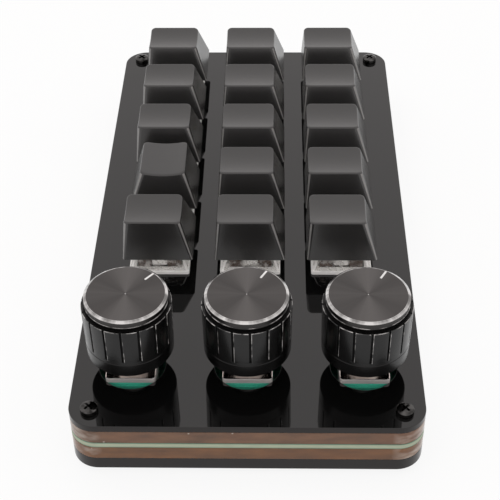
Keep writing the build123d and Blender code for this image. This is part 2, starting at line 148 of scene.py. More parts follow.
class CaseSettings(bpy.types.PropertyGroup):
    """Sizes and colours of the layered case."""
    corner: length("Corner radius", "Radius of the case's corners in plan", 6.5)
    edge: length("Edge rounding", "Rounding along the edges of the sheets", 0.12)
    cutout: length("Switch cut-out", "Square cut-out for a switch", 14.0)
    knob_hole: length("Knob hole", "Hole round an encoder", 16.0)
    screw_hole: length("Screw hole", "Hole for a screw's thread", 2.24)
    screw_head: length("Screw head", "Diameter of a screw's head", 4.2)
    sleeve_hole: length("Sleeve hole", "Hole for a corner sleeve", 3.84)
    boss_hole: length("Boss hole", "Hole in the board for a switch's boss", 4.24)
    frame_wall: length("Frame wall", "Width of the clear frames", 4.0)
    frame_pad: length("Frame pad", "Side of the pads in the frames' corners", 5.6)
    sleeve: length("Sleeve", "Diameter of a corner sleeve", 3.6)
    foot: length("Foot", "Diameter of a rubber foot", 8.0)
    sheet_colour: colour("Sheet", "Gloss sheets", (0.003, 0.003, 0.003))
    frame_colour: colour("Frame", "Clear frames' cut edge", (0.2, 0.08, 0.035))
    mask_colour: colour("Board", "Solder mask", (0.012, 0.085, 0.05))
    laminate_colour: colour("Board edge", "Bare laminate at the board's edge", (0.36, 0.41, 0.30))


class KeySettings(bpy.types.PropertyGroup):
    """Sizes and colours of the keys and switches."""
    base: length("Cap base", "Side of a cap at its foot", 18.1)
    base_corner: length("Base corner", "Corner radius at a cap's foot", 0.7)
    top_long: length("Top length", "Length of a cap's top along its dish", 14.4)
    top_short: length("Top width", "Width of a cap's top across its dish", 11.8)
    top_corner: length("Top corner", "Corner radius of a cap's top", 1.4)
    top_shift: FloatProperty(name="Top shift", description="Shift of a cap's top along its dish",
                             default=-1.25 * MM, unit="LENGTH", subtype="DISTANCE", precision=5)
    dish: length("Dish", "Depth of the dish in a cap's top", 0.75)
    easing: length("Edge easing", "Rounding of a cap's edges", 0.45)
    wall: length("Wall", "Thickness of a cap's wall", 1.3)
    flange: length("Flange", "Side of a switch's flange", 15.6)
    body: length("Body", "Side of a switch's body in the case", 13.9)
    foot: length("Housing foot", "Side of a housing at the flange", 14.8)
    waist: length("Housing waist", "Side of a housing at its waist", 12.8)
    waist_height: length("Waist height", "Height of the waist above the cover sheet", 4.4)
    crown: length("Housing crown", "Side of a housing at its top", 10.6)
    shell: length("Housing wall", "Wall of a switch's housing", 1.0)
    window_long: length("Window length", "Length of the slider's window", 7.3)
    window_short: length("Window width", "Width of the slider's window", 5.9)
    coil: length("Spring", "Mean diameter of a spring", 4.8)
    wire: length("Wire", "Diameter of a spring's wire", 0.36)
    turns: number("Turns", "Turns of a spring", 6.0)
    cap_colour: colour("Cap", "Keycap plastic", (0.02, 0.0195, 0.019))
    stem_colour: colour("Slider", "Slider plastic", (0.085, 0.045, 0.027))


class KnobSettings(bpy.types.PropertyGroup):
    """Sizes and colours of the knobs and encoders."""
    foot: length("Foot", "Diameter of a knob at its foot", 20.6)
    skirt: length("Skirt", "Diameter of a knob's skirt at its top", 21.0)
    skirt_height: length("Skirt height", "Height of the skirt", 14.0)
    neck: length("Neck", "Diameter of the neck under the disc", 18.6)
    wall: length("Wall", "Wall of the skirt", 1.5)
    flutes: IntProperty(name="Flutes", description="Raised panels round a skirt", default=16, min=3)
    flute_gap: length("Flute gap", "Gap between two panels", 0.42)
    flute_depth: length("Flute depth", "Depth of the gap between two panels", 0.4)
    flute_foot: length("Flute foot", "Height of the smooth band under the panels", 4.6)
    seam: length("Seam", "Height of the seam in the smooth band", 3.6)
    disc: length("Disc", "Diameter of the metal disc", 19.4)
    band: length("Band", "Height of the disc's band", 1.55)
    chamfer: length("Chamfer", "Width of the bright chamfer", 0.58)
    mark_length: length("Mark length", "Length of the index mark", 2.8)
    mark_width: length("Mark width", "Width of the index mark", 0.5)
    plastic_colour: colour("Plastic", "Knob plastic", (0.0035, 0.0035, 0.0035))
    disc_colour: colour("Disc", "Dark spun metal", (0.105, 0.1, 0.098))
    encoder_width: length("Encoder width", "Width of an encoder's base", 11.1)
    encoder_depth: length("Encoder depth", "Depth of an encoder's base and cover", 11.8)
    cover: length("Cover", "Height of an encoder's folded cover", 1.4)
    base_colour: colour("Encoder base", "Encoder's moulded base", (0.1, 0.8, 0.56))


class StageSettings(bpy.types.PropertyGroup):
    """Camera and light."""
    lens: number("Lens", "Focal length in millimetres", 89.98, 1.0)
    elevation: angle("Elevation", "Camera's height above the horizon", 40.875)
    yaw: angle("Yaw", "Camera's turn about the upright axis", -1.524)
    roll: angle("Roll", "Camera's roll", -0.842)
    distance: length("Distance", "From the camera to its target", 331.617)
    target: FloatVectorProperty(name="Target", description="Point that the camera looks at", size=3,
                                default=(-0.212 * MM, -18.117 * MM, 16.5 * MM), subtype="TRANSLATION")
    sky: number("Sky", "Strength of the soft light all round", 0.85)
    softbox: FloatProperty(name="Softbox", description="Power of the overhead light", default=1.6,
                           min=0.0, unit="POWER")
    floor_colour: colour("Floor", "Pale floor", (0.94, 0.94, 0.94))
    floor_lift: FloatProperty(name="Floor lift", description="How far the seen floor is lifted to white",
                              default=0.88, min=0.0, max=1.0, subtype="FACTOR")


# Node trees

class Wire:
    """A socket in a node tree. Arithmetic on wires adds the Math nodes for it."""

    def __init__(self, tree, socket=None):
        self.tree = tree
        self.socket = socket

    def node(self, kind, settings=None, sockets=None, output=0):
        """New node: its settings first, then the values or links of its sockets."""
        made = self.tree.nodes.new(kind)
        for key, value in (settings or {}).items():
            setattr(made, key, value)
        for key, value in (sockets or {}).items():
            if isinstance(value, Wire):
                self.tree.links.new(value.socket, made.inputs[key])
            else:
                made.inputs[key].default_value = value
        found = made.outputs[output] if made.outputs else None
        return Wire(self.tree, found)

    def math(self, operation, *values):
        return self.node("ShaderNodeMath", {"operation": operation}, dict(enumerate(values)))

    def __add__(self, other):
        return self.math("ADD", self, other)

    def __sub__(self, other):
        return self.math("SUBTRACT", self, other)

    def __rsub__(self, other):
        return self.math("SUBTRACT", other, self)

    def __mul__(self, other):
        return self.math("MULTIPLY", self, other)

    def __truediv__(self, other):
        return self.math("DIVIDE", self, other)

    def __rtruediv__(self, other):
        return self.math("DIVIDE", other, self)

    def __lt__(self, other):
        return self.math("LESS_THAN", self, other)

    __radd__ = __add__
    __rmul__ = __mul__


def finish(surface):
    """Turn a function that wires a surface into one that gives its material, made once."""
    def material():
        name = surface.__name__ + "_finish"
        if name in bpy.data.materials:
            return bpy.data.materials[name]
        made = bpy.data.materials.new(name)
        made.use_nodes = True
        made.node_tree.nodes.clear()
        start = Wire(made.node_tree)
        start.node("ShaderNodeOutputMaterial", {}, {"Surface": surface(start)})
        return made
    return material


def chosen(group):
    """Settings of one group."""
    return getattr(bpy.context.scene, "keypad_" + group)


def rgba(shade, gain=1.0):
    """Colour with its alpha, made lighter or darker by a gain."""
    return (shade[0] * gain, shade[1] * gain, shade[2] * gain, 1.0)


def place_of(start, stretch=None):
    """Object coordinates, stretched for a pattern that runs along an axis."""
    point = start.node("ShaderNodeTexCoord", {}, {}, "Object")
    if stretch is None:
        return point
    return start.node("ShaderNodeMapping", {}, {"Vector": point, "Scale": stretch})


def along(start, vector, axis):
    """One of a vector's three parts."""
    return start.node("ShaderNodeSeparateXYZ", {}, {"Vector": vector}, axis)


def vector_math(start, operation, *vectors, output="Value"):
    """Result of a vector operation, a plain number unless told otherwise."""
    return start.node("ShaderNodeVectorMath", {"operation": operation}, dict(enumerate(vectors)), output)


def ranged(start, value, first, last):
    """Share of the way from a first number to a last one, kept between 0 and 1."""
    return start.node("ShaderNodeMapRange", {}, {"Value": value, "From Min": first, "From Max": last})


def noise(start, grain, detail=3.0, stretch=None):
    """Noise from 0 to 1 with a grain of about the given size in millimetres."""
    sockets = {"Vector": place_of(start, stretch), "Scale": 1.0 / (grain * MM), "Detail": detail}
    return start.node("ShaderNodeTexNoise", {}, sockets, "Fac")


def run_noise(start, place, scale, detail=2.0):
    """Noise from 0 to 1 along one number."""
    return start.node("ShaderNodeTexNoise", {"noise_dimensions": "1D"},
                      {"W": place, "Scale": scale, "Detail": detail}, "Fac")


def specks(start, pitch, size, share, stretch=None):
    """Sparse round specks, in a share of the cells of a scattered grid; sizes in millimetres."""
    sockets = {"Vector": place_of(start, stretch), "Scale": 1.0 / (pitch * MM)}
    near = start.node("ShaderNodeTexVoronoi", {}, sockets, "Distance")
    cell = start.node("ShaderNodeTexVoronoi", {}, sockets, "Color")
    pick = start.node("ShaderNodeSeparateColor", {}, {"Color": cell}, "Red")
    return (near < size / pitch) * (pick < share)


def polar(start):
    """Radius in millimetres and angle about a turned piece's own axis, from its plan map."""
    plan = start.node("ShaderNodeUVMap", {"uv_map": "plan"})
    turn = start.math("ARCTAN2", along(start, plan, "Y"), along(start, plan, "X"))
    return vector_math(start, "LENGTH", plan), turn


def blend(start, share, one, other):
    """Mix of two colours, each a wire or plain values."""
    one, other = (shade if isinstance(shade, Wire) else rgba(shade) for shade in (one, other))
    return start.node("ShaderNodeMix", {"data_type": "RGBA"}, {0: share, 6: one, 7: other}, 2)


def bump(start, height, depth):
    """Bump from a height of 0 to 1 over a depth in millimetres."""
    return start.node("ShaderNodeBump", {}, {"Height": height, "Distance": depth * MM, "Strength": 1.0})


def principled(start, **sockets):
    """Principled surface; socket names have their spaces as underscores."""
    return start.node("ShaderNodeBsdfPrincipled", {},
                      {key.replace("_", " "): value for key, value in sockets.items()})


def grained(start, grain, dark, pale, rough, spread, depth=None, **sockets):
    """Surface whose colour and roughness follow a grain, and its bump where a depth is given."""
    if depth is not None:
        sockets["Normal"] = bump(start, grain, depth)
    return principled(start, Base_Color=blend(start, grain, dark, pale), Roughness=rough + grain * spread,
                      **sockets)


# Finishes

LEVEL_LINES = (0.02, 0.02, 1.0)
CLEAR_IOR = 1.49
CAP_IOR = 1.6


@finish
def gloss_acrylic(start):
    """Mirror-gloss black sheet with a little dust and faint polishing haze."""
    haze = noise(start, 30.0)
    dust = specks(start, pitch=12.0, size=0.2, share=0.4)
    return principled(
        start,
        Base_Color=blend(start, dust, chosen("case").sheet_colour, (0.4, 0.39, 0.38)),
        Roughness=0.02 + haze * 0.03 + dust * 0.5,
        IOR=1.57,
    )


@finish
def sawn_acrylic(start):
    """Cut edge of a black sheet, satin from the saw."""
    grain = noise(start, 0.3, detail=2.0, stretch=(1.0, 1.0, 0.2))
    return grained(start, grain, chosen("case").sheet_colour, (0.012, 0.007, 0.006),
                   rough=0.1, spread=0.12, Specular_IOR_Level=0.3)


def painted_sleeve_highlight(start):
    """Painted highlight: soft pale clouds on the clear corners, where the bright corner sleeves show
    through.
    """
    xs, ys = sleeve_grid()
    folded = vector_math(start, "ABSOLUTE", place_of(start, (1.0, 1.0, 0.0)), output="Vector")
    away = vector_math(start, "DISTANCE", folded, (xs[-1], ys[-1], 0.0))
    outer, inner = 5.8 * MM, 4.7 * MM
    cloud = ranged(start, noise(start, 2.4, detail=2.0, stretch=(0.5, 0.5, 1.2)), 0.4, 0.75)
    return ranged(start, away, outer, inner) * cloud * 0.8


@finish
def cut_acrylic(start):
    """Clear frame, seen warm and cloudy through its cut edge, warmer low down, with small painted glints and
    a painted highlight at its corners.
    """
    shade = chosen("case").frame_colour
    cloud = noise(start, 2.4, detail=4.0, stretch=(0.3, 0.3, 1.0))
    tint = noise(start, 18.0, detail=1.0)
    # Painted glints: sparse pale specks standing in for highlights.
    painted_glint = specks(start, pitch=2.0, size=0.14, share=0.3, stretch=(0.6, 0.6, 1.0))
    deep = along(start, place_of(start), "Z") < board_top
    tone = ranged(start, cloud, 0.3, 0.7)
    olive_shade = (shade[0] * 0.85, shade[1] * 1.15, shade[2] * 1.3)
    amber_shade = (shade[0] * 0.95, shade[1] * 0.85, shade[2] * 0.35)
    olive = blend(start, tone, rgba(olive_shade, 0.7), rgba(olive_shade, 1.3))
    warm = blend(start, tone, rgba(shade, 0.7), rgba(shade, 1.3))
    amber = blend(start, tone, rgba(amber_shade, 0.75), rgba(amber_shade, 1.25))
    body = blend(start, tint * (1.0 - deep * 0.6), blend(start, deep, warm, amber), olive)
    return principled(
        start,
        # The pale colour (0.66, 0.58, 0.5) paints the glints and the corner highlight.
        Base_Color=blend(start, start.math("MAXIMUM", painted_glint, painted_sleeve_highlight(start)), body, (0.66, 0.58, 0.5)),
        Roughness=0.1 + cloud * 0.1,
        Transmission_Weight=0.25,
        IOR=CLEAR_IOR,
    )


@finish
def solder_mask(start):
    """Green board: masked faces with faint copper runs, bare laminate along the edge."""
    mask, laminate = chosen("case").mask_colour, chosen("case").laminate_colour
    normal = start.node("ShaderNodeNewGeometry", {}, {}, "Normal")
    edge = start.math("ABSOLUTE", along(start, normal, "Z")) < 0.5
    fibre = noise(start, 0.35, detail=2.0, stretch=(0.1, 0.1, 1.0))
    runs = start.node("ShaderNodeTexBrick", {"offset": 0.5}, {
        "Vector": place_of(start), "Scale": 180.0, "Mortar Size": 0.03, "Color1": rgba(mask),
        "Color2": rgba(mask, 0.85), "Mortar": rgba(mask, 1.9)}, "Color")
    centre = (low("circuit_board").z + board_top) / 2
    away = start.math("ABSOLUTE", along(start, place_of(start), "Z") - centre) / (board_top - centre)
    bare = blend(start, fibre, rgba(laminate, 0.85), rgba(laminate, 1.3))
    side = blend(start, ranged(start, away, 0.4, 0.9) * 0.8, bare, (0.10, 0.22, 0.15))
    return principled(
        start,
        Base_Color=blend(start, edge, runs, side),
        Roughness=0.3 + edge * 0.25 + fibre * 0.1,
    )


@finish
def black_steel(start):
    """Black-finished screw steel, worn a little brighter in patches."""
    wear = noise(start, 1.4, detail=2.0)
    patches = ranged(start, wear, 0.35, 0.65)
    return principled(
        start,
        Base_Color=blend(start, patches, (0.018, 0.0175, 0.017), (0.1, 0.098, 0.096)),
        Metallic=1.0,
        Roughness=0.08 + wear * 0.08,
    )


@finish
def turned_metal(start):
    """Bright turned sleeve or shaft with fine rings."""
    rings = noise(start, 0.12, detail=1.0, stretch=LEVEL_LINES)
    return grained(start, rings, (0.58, 0.56, 0.53), (0.78, 0.76, 0.72),
                   rough=0.2, spread=0.15, depth=0.01, Metallic=1.0)


@finish
def soft_rubber(start):
    """Matt black rubber."""
    return grained(start, noise(start, 0.3), (0.012, 0.012, 0.012), (0.026, 0.026, 0.026),
                   rough=0.75, spread=0.15, depth=0.05)


@finish
def clear_plastic(start):
    """Clear moulded housing with milky flow marks."""
    ripple = noise(start, 1.6, detail=2.0)
    milk = ranged(start, noise(start, 1.8, detail=2.0), 0.48, 0.66)
    return grained(start, ripple, (0.84, 0.81, 0.77), (0.95, 0.94, 0.91),
                   rough=0.04, spread=0.08, depth=0.06, Alpha=0.06 + milk * 0.5, IOR=CLEAR_IOR)


@finish
def frost_with_painted_glow(start):
    """Milky edges and light guide of a housing, painted pale as a highlight, and lit by a faint painted
    emission.
    """
    mist = noise(start, 1.8, detail=1.0)
    painted_glow = blend(start, mist, (0.80, 0.78, 0.74), (1.0, 0.98, 0.95))
    # Painted glow: the emission lights the edges and light guide though they are no lamp.
    return grained(start, mist, (0.86, 0.84, 0.81), (0.97, 0.96, 0.95), rough=0.15, spread=0.15,
                   Alpha=0.94 + mist * 0.06, IOR=CLEAR_IOR, Emission_Color=painted_glow, Emission_Strength=0.15)


@finish
def contact_brass(start):
    """Rolled brass strip."""
    grain = noise(start, 0.3, stretch=(1.0, 1.0, 0.1))
    return grained(start, grain, (0.55, 0.36, 0.15), (0.75, 0.53, 0.26),
                   rough=0.22, spread=0.15, Metallic=1.0)


@finish
def spring_steel(start):
    """Drawn spring wire and sheet."""
    grain = noise(start, 0.2)
    return grained(start, grain, (0.42, 0.41, 0.40), (0.62, 0.61, 0.59),
                   rough=0.2, spread=0.15, Metallic=1.0)


@finish
def chip_plastic(start):
    """Matt moulded chip case."""
    return grained(start, noise(start, 0.12), (0.015, 0.015, 0.016), (0.03, 0.03, 0.031),
                   rough=0.55, spread=0.2, depth=0.02)


@finish
def socket_steel(start):
    """Plated socket shell with drawing marks."""
    grain = noise(start, 0.2, stretch=(0.05, 1.0, 1.0))
    return grained(start, grain, (0.55, 0.54, 0.52), (0.72, 0.71, 0.69),
                   rough=0.22, spread=0.14, Metallic=1.0)


@finish
def slider_plastic(start):
    """Slippery moulded slider."""
    shade = chosen("keys").stem_colour
    return grained(start, noise(start, 0.4), rgba(shade, 0.85), rgba(shade, 1.15), rough=0.32, spread=0.1)


@finish
def cap_plastic(start):
    """Matt black keycap with a fine moulded grain, rubbed smoother in patches."""
    shade = chosen("keys").cap_colour
    grain = noise(start, 0.16, detail=2.0)
    rub_and_highlight_patches = noise(start, 7.0, detail=2.0)
    plain = blend(start, grain * 0.5 + rub_and_highlight_patches * 0.5, rgba(shade, 0.8), rgba(shade, 1.25))
    return principled(
        start,
        Base_Color=blend(start, specks(start, pitch=9.0, size=0.17, share=0.2), plain, (0.45, 0.44, 0.43)),
        Roughness=0.2 + grain * 0.05 + rub_and_highlight_patches * 0.05,
        IOR=CAP_IOR,
        Specular_IOR_Level=0.58,
        Normal=bump(start, grain, 0.006),
    )


@finish
def cap_ridge_highlight(start):
    """Upright edges of a keycap, smoother, and painted pale as a highlight along each edge."""
    shade = chosen("keys").cap_colour
    # Painted highlight: the edge colour is many times the cap's own.
    return grained(start, noise(start, 1.2), rgba(shade, 6.5), rgba(shade, 13.0),
                   rough=0.14, spread=0.08, IOR=CAP_IOR)


@finish
def knob_plastic(start):
    """Gloss black knob moulding with the fine level lines of its tool."""
    shade = chosen("knobs").plastic_colour
    lines = noise(start, 0.3, detail=1.0, stretch=LEVEL_LINES)
    cloud = noise(start, 4.0, detail=2.0)
    return principled(
        start,
        Base_Color=blend(start, cloud, rgba(shade, 0.75), rgba(shade, 1.3)),
        Roughness=0.17 + lines * 0.08 + cloud * 0.04,
        Specular_IOR_Level=0.31,
        Normal=bump(start, lines, 0.007),
    )


@finish
def knob_groove_shade(start):
    """Dull black of the knob's grooves and neck, a painted shade: darker and less shiny than the panels, so
    the recesses read dark.
    """
    shade = chosen("knobs").plastic_colour
    return grained(start, noise(start, 0.3), rgba(shade, 0.7), rgba(shade, 1.2),
                   rough=0.55, spread=0.15, Specular_IOR_Level=0.12)


@finish
def knob_rim_highlight(start):
    """Edges of the knob's panels and the disc's bead, painted pale in broken patches as a highlight."""
    rub_and_highlight_patches = noise(start, 2.2)
    bright = ranged(start, rub_and_highlight_patches, 0.42, 0.62)
    return principled(
        start,
        # Painted highlight: the pale colour lies where the noise is high, broken along the edge.
        Base_Color=blend(start, bright, (0.01, 0.01, 0.01), (0.5, 0.49, 0.48)),
        Roughness=0.12 + rub_and_highlight_patches * 0.1,
    )


@finish
def spun_metal(start):
    """Dark spun disc: fine rings, and two pairs of lighter and darker sectors painted in as a sheen."""
    shade = chosen("knobs").disc_colour
    radius, turn = polar(start)
    rings = run_noise(start, radius, scale=9.0, detail=3.0)
    rays = run_noise(start, turn, scale=5.0, detail=3.0)
    # Painted sheen: lighter and darker sectors round the disc's axis, fixed to the disc; rays and rings add
    # grain.
    painted_sheen_fans = start.math("COSINE", turn * 2.0) * -0.26 + start.math("COSINE", turn * 4.0) * 0.26
    sheen = 0.42 + painted_sheen_fans + (rays - 0.5) * 0.3 + (rings - 0.5) * 0.35
    return principled(
        start,
        Base_Color=blend(start, sheen, rgba(shade, 0.72), rgba(shade, 1.26)),
        Metallic=1.0,
        Roughness=0.3 + rings * 0.1,
        Anisotropic=0.85,
        Normal=bump(start, rings, 0.012),
    )


@finish
def bright_metal(start):
    """Diamond-cut chamfer, with pale and dark patches round it painted in as a reflection."""
    radius, turn = polar(start)
    rings = run_noise(start, radius, scale=6.0)
    # Painted reflection: the colour runs from dark to pale in patches round the axis.
    patches = ranged(start, run_noise(start, turn, scale=2.2, detail=3.0) * 0.75 + rings * 0.25, 0.4, 0.6)
    return principled(
        start,
        Base_Color=blend(start, patches, (0.2, 0.197, 0.194), (0.72, 0.716, 0.71)),
        Metallic=1.0,
        Roughness=0.1 + rings * 0.1,
    )


@finish
def band_metal(start):
    """Dark side of the disc, turned fine."""
    shade = chosen("knobs").disc_colour
    rings = noise(start, 0.1, detail=1.0, stretch=LEVEL_LINES)
    return grained(start, rings, rgba(shade, 0.35), rgba(shade, 0.55),
                   rough=0.22, spread=0.12, depth=0.006, Metallic=1.0)


@finish
def mark_paint(start):
    """White filled index mark."""
    grain = noise(start, 0.3)
    return grained(start, grain, (0.72, 0.72, 0.71), (0.85, 0.85, 0.84), rough=0.4, spread=0.15)


@finish
def cover_steel(start):
    """Tinned cover with rolling marks and a warm tarnish."""
    grain = noise(start, 0.25, stretch=(1.0, 0.06, 1.0))
    warm = blend(start, noise(start, 3.0, detail=2.0), (0.56, 0.45, 0.40), (0.78, 0.70, 0.66))
    return principled(
        start,
        Base_Color=blend(start, grain * 0.4, warm, (0.86, 0.82, 0.79)),
        Metallic=1.0,
        Roughness=0.12 + grain * 0.1,
        Normal=bump(start, grain, 0.008),
    )


@finish
def cover_fold(start):
    """Folded sides of the tinned cover, dull and pale."""
    grain = noise(start, 0.25, stretch=(0.06, 0.06, 1.0))
    return grained(start, grain, (0.78, 0.74, 0.71), (0.95, 0.94, 0.92),
                   rough=0.42, spread=0.14, depth=0.008, Metallic=0.65)


@finish
def base_plastic(start):
    """Emerald moulded encoder base."""
    shade = chosen("knobs").base_colour
    return grained(start, noise(start, 0.5), rgba(shade, 0.8), rgba(shade, 1.2),
                   rough=0.32, spread=0.12, depth=0.01)


@finish
def rotor_plastic(start):
    """Pale moulded rotor."""
    grain = noise(start, 0.3)
    return grained(start, grain, (0.5, 0.48, 0.42), (0.62, 0.60, 0.54), rough=0.4, spread=0.1)


def seen_by(start):
    """1 for rays from the camera, a mirror or a clear piece, and 0 for the light on a surface."""
    total = None
    for label in ("Is Camera Ray", "Is Glossy Ray", "Is Transmission Ray"):
        ray = start.node("ShaderNodeLightPath", {}, {}, label)
        total = ray if total is None else total.math("MAXIMUM", total, ray)
    return total


@finish
def floor_paint(start):
    """Pale matt floor, lifted towards white where it is seen, that keeps a soft shadow."""
    stage = chosen("stage")
    shade = stage.floor_colour
    paint = principled(
        start,
        Base_Color=blend(start, noise(start, 80.0), rgba(shade, 0.99), rgba(shade, 1.01)),
        Roughness=0.9,
        Specular_IOR_Level=0.1,
    )
    white = start.node("ShaderNodeEmission", {}, {"Color": (1.0, 1.0, 1.0, 1.0), "Strength": 1.0})
    return start.node("ShaderNodeMixShader", {}, {0: seen_by(start) * stage.floor_lift, 1: paint, 2: white})


# Mesh making

def lap(width, depth, corner, level, centre=(0.0, 0.0), steps=6, side_steps=1):
    """Closed run of points round a rectangle with rounded corners, anticlockwise from +X."""
    arcs = []
    for quarter, (sx, sy) in enumerate(((1, 1), (-1, 1), (-1, -1), (1, -1))):
        hub = Vector((centre[0] + sx * (width / 2 - corner), centre[1] + sy * (depth / 2 - corner), level))
        turns = [math.radians(90 * (quarter + step / steps)) for step in range(steps + 1)]
        arcs.append([hub + corner * Vector((math.cos(turn), math.sin(turn), 0.0)) for turn in turns])
    points = []
    for arc, following in zip(arcs, arcs[1:] + arcs[:1]):
        points += arc
        points += [arc[-1].lerp(following[0], step / side_steps) for step in range(1, side_steps)]
    return points


def square(side, corner, level):
    """Closed run of points round a square with rounded corners."""
    return lap(side, side, corner, level)


def widened(plan, by):
    """Width, depth and corner of a rounded rectangle, drawn out on all sides."""
    width, depth, corner = plan
    return (width + 2 * by, depth + 2 * by, corner + by)


def circle(diameter, level, centre, segments):
    """Closed run of points round a circle."""
    radius = diameter / 2
    turns = [2 * math.pi * n / segments for n in range(segments)]
    return [Vector((centre[0] + radius * math.cos(turn), centre[1] + radius * math.sin(turn), level))
            for turn in turns]


def new_mesh(name, points, faces, bands=None):
    """Mesh from points and faces, with a material number for each face where given."""
    mesh = bpy.data.meshes.new(name)
    mesh.from_pydata(points, [], faces)
    if bands:
        mesh.polygons.foreach_set("material_index", bands)
    mesh.validate()
    return mesh


def skin(name, laps, closed=False, mark=None):
    """Mesh through laps of equal count, capped at both ends or closed on itself.

    A mark gives the material number of a wall's face from its lap and its place in it.
    """
    count = len(laps[0])
    pairs = list(zip(range(len(laps) - 1), range(1, len(laps))))
    if closed:
        pairs.append((len(laps) - 1, 0))
    faces, bands = [], []
    for one, two in pairs:
        for n in range(count):
            m = (n + 1) % count
            faces.append((one * count + n, one * count + m, two * count + m, two * count + n))
            bands.append(mark(one, n) if mark else 0)
    if not closed:
        faces.append(tuple(reversed(range(count))))
        faces.append(tuple(range((len(laps) - 1) * count, len(laps) * count)))
        bands += [0, 0]
    return new_mesh(name, [point for run in laps for point in run], faces, bands)


def block(name, width, depth, corner, levels, centre=(0.0, 0.0), steps=6, mark=None):
    """Upright block with rounded corners between two levels."""
    return skin(name, [lap(width, depth, corner, level, centre, steps) for level in levels], mark=mark)


def turned(name, profile, segments=96, closed=False, bands=None):
    """Mesh of revolution about Z from radius and level pairs, with a material number for each run."""
    points, rows, faces, marks = [], [], [], []
    for radius, level in profile:
        count = segments if radius > TINY else 1
        rows.append(range(len(points), len(points) + count))
        for n in range(count):
            turn = 2 * math.pi * n / segments
            points.append((radius * math.cos(turn), radius * math.sin(turn), level))
    pairs = list(zip(rows, rows[1:]))
    if closed:
        pairs.append((rows[-1], rows[0]))
    for run, (one, two) in enumerate(pairs):
        for n in range(segments):
            m = (n + 1) % segments
            corners = (one[n % len(one)], one[m % len(one)], two[m % len(two)], two[n % len(two)])
            face = tuple(dict.fromkeys(corners))
            if len(face) > 2:
                faces.append(face)
                marks.append(bands[run] if bands else 0)
    return new_mesh(name, points, faces, marks)


def eased(points, reach, steps=4):
    """Open run of pairs with each inner corner rounded as far as its sides allow."""
    runs = [Vector(point) for point in points]
    most = 0.45
    result = [runs[0]]
    for before, corner, after in zip(runs, runs[1:], runs[2:]):
        back, ahead = before - corner, after - corner
        room = min(reach, most * back.length, most * ahead.length)
        start = corner + back.normalized() * room
        end = corner + ahead.normalized() * room
        for n in range(steps + 1):
            share = n / steps
            result.append(start.lerp(corner, share).lerp(corner.lerp(end, share), share))
    result.append(runs[-1])
    return [tuple(point) for point in result]


def domed(radius, level, height, steps):
    """Run of radius and level pairs up a quarter round, from its edge to its middle."""
    turns = [n / steps * math.pi / 2 for n in range(steps)]
    run = [(radius * math.cos(turn), level + height * math.sin(turn)) for turn in turns]
    return run + [(0.0, level + height)]


def joined(name, meshes):
    """One mesh from several, which are used up."""
    work = bmesh.new()
    for mesh in meshes:
        work.from_mesh(mesh)
        bpy.data.meshes.remove(mesh)
    result = bpy.data.meshes.new(name)
    work.to_mesh(result)
    work.free()
    return result


def at(place):
    """Matrix that moves a mesh to a place."""
    return Matrix.Translation(Vector(place))


def over(place):
    """Matrix that moves a mesh over a place in plan."""
    return at((place.x, place.y, 0.0))


def moved(mesh, place):
    """Mesh moved by a matrix."""
    mesh.transform(place)
    return mesh


def banded(mesh, band):
    """Mesh with one material number on all its faces."""
    mesh.polygons.foreach_set("material_index", [band] * len(mesh.polygons))
    return mesh


def mark_upright(mesh, limit):
    """Give the second finish to the faces whose normals rise less than a limit."""
    upright = [int(abs(face.normal.z) < limit) for face in mesh.polygons]
    mesh.polygons.foreach_set("material_index", upright)


def holder_of(name, data):
    """Linked object for a mesh or curve that is still being made."""
    holder = bpy.data.objects.new(name, data)
    bpy.context.scene.collection.objects.link(holder)
    return holder


def baked(holder):
    """Plain mesh of an object as it evaluates; the object and its data are removed."""
    bpy.context.view_layer.update()
    graph = bpy.context.evaluated_depsgraph_get()
    mesh = bpy.data.meshes.new_from_object(holder.evaluated_get(graph), depsgraph=graph)
    data = holder.data
    bpy.data.objects.remove(holder)
    if isinstance(data, bpy.types.Curve):
        bpy.data.curves.remove(data)
    else:
        bpy.data.meshes.remove(data)
    return mesh


def tidy(mesh):
    """Merge doubles and point the faces outwards."""
    work = bmesh.new()
    work.from_mesh(mesh)
    bmesh.ops.remove_doubles(work, verts=work.verts, dist=TINY)
    bmesh.ops.recalc_face_normals(work, faces=work.faces)
    work.to_mesh(mesh)
    work.free()
    return mesh


def sheet(name, outline, holes, bottom, top, edge):
    """Flat sheet with holes and rounded edges between two levels; its runs leave room for the rounding."""
    curve = bpy.data.curves.new(name, "CURVE")
    curve.dimensions = "2D"
    curve.fill_mode = "BOTH"
    curve.extrude = (top - bottom) / 2 - edge
    curve.bevel_depth = edge
    curve.bevel_resolution = 2
    for run in [outline] + holes:
        spline = curve.splines.new("POLY")
        spline.points.add(len(run) - 1)
        for point, place in zip(spline.points, run):
            point.co = (place.x, place.y, 0.0, 1.0)
        spline.use_cyclic_u = True
    mesh = tidy(baked(holder_of(name, curve)))
    return moved(mesh, at((0.0, 0.0, (bottom + top) / 2)))


def cut(mesh, tool):
    """Mesh with a second mesh taken away from it; both are used up."""
    holder = holder_of("cut", mesh)
    cutter = holder_of("tool", tool)
    step = holder.modifiers.new("cut", "BOOLEAN")
    step.operation = "DIFFERENCE"
    step.solver = "EXACT"
    step.object = cutter
    result = baked(holder)
    bpy.data.objects.remove(cutter)
    bpy.data.meshes.remove(tool)
    return result


def weighted(mesh):
    """Mesh whose large faces keep their own shading beside small roundings."""
    holder = holder_of("weighted", mesh)
    step = holder.modifiers.new("weighted", "WEIGHTED_NORMAL")
    step.mode = "FACE_AREA_WITH_ANGLE"
    step.keep_sharp = True
    return baked(holder)


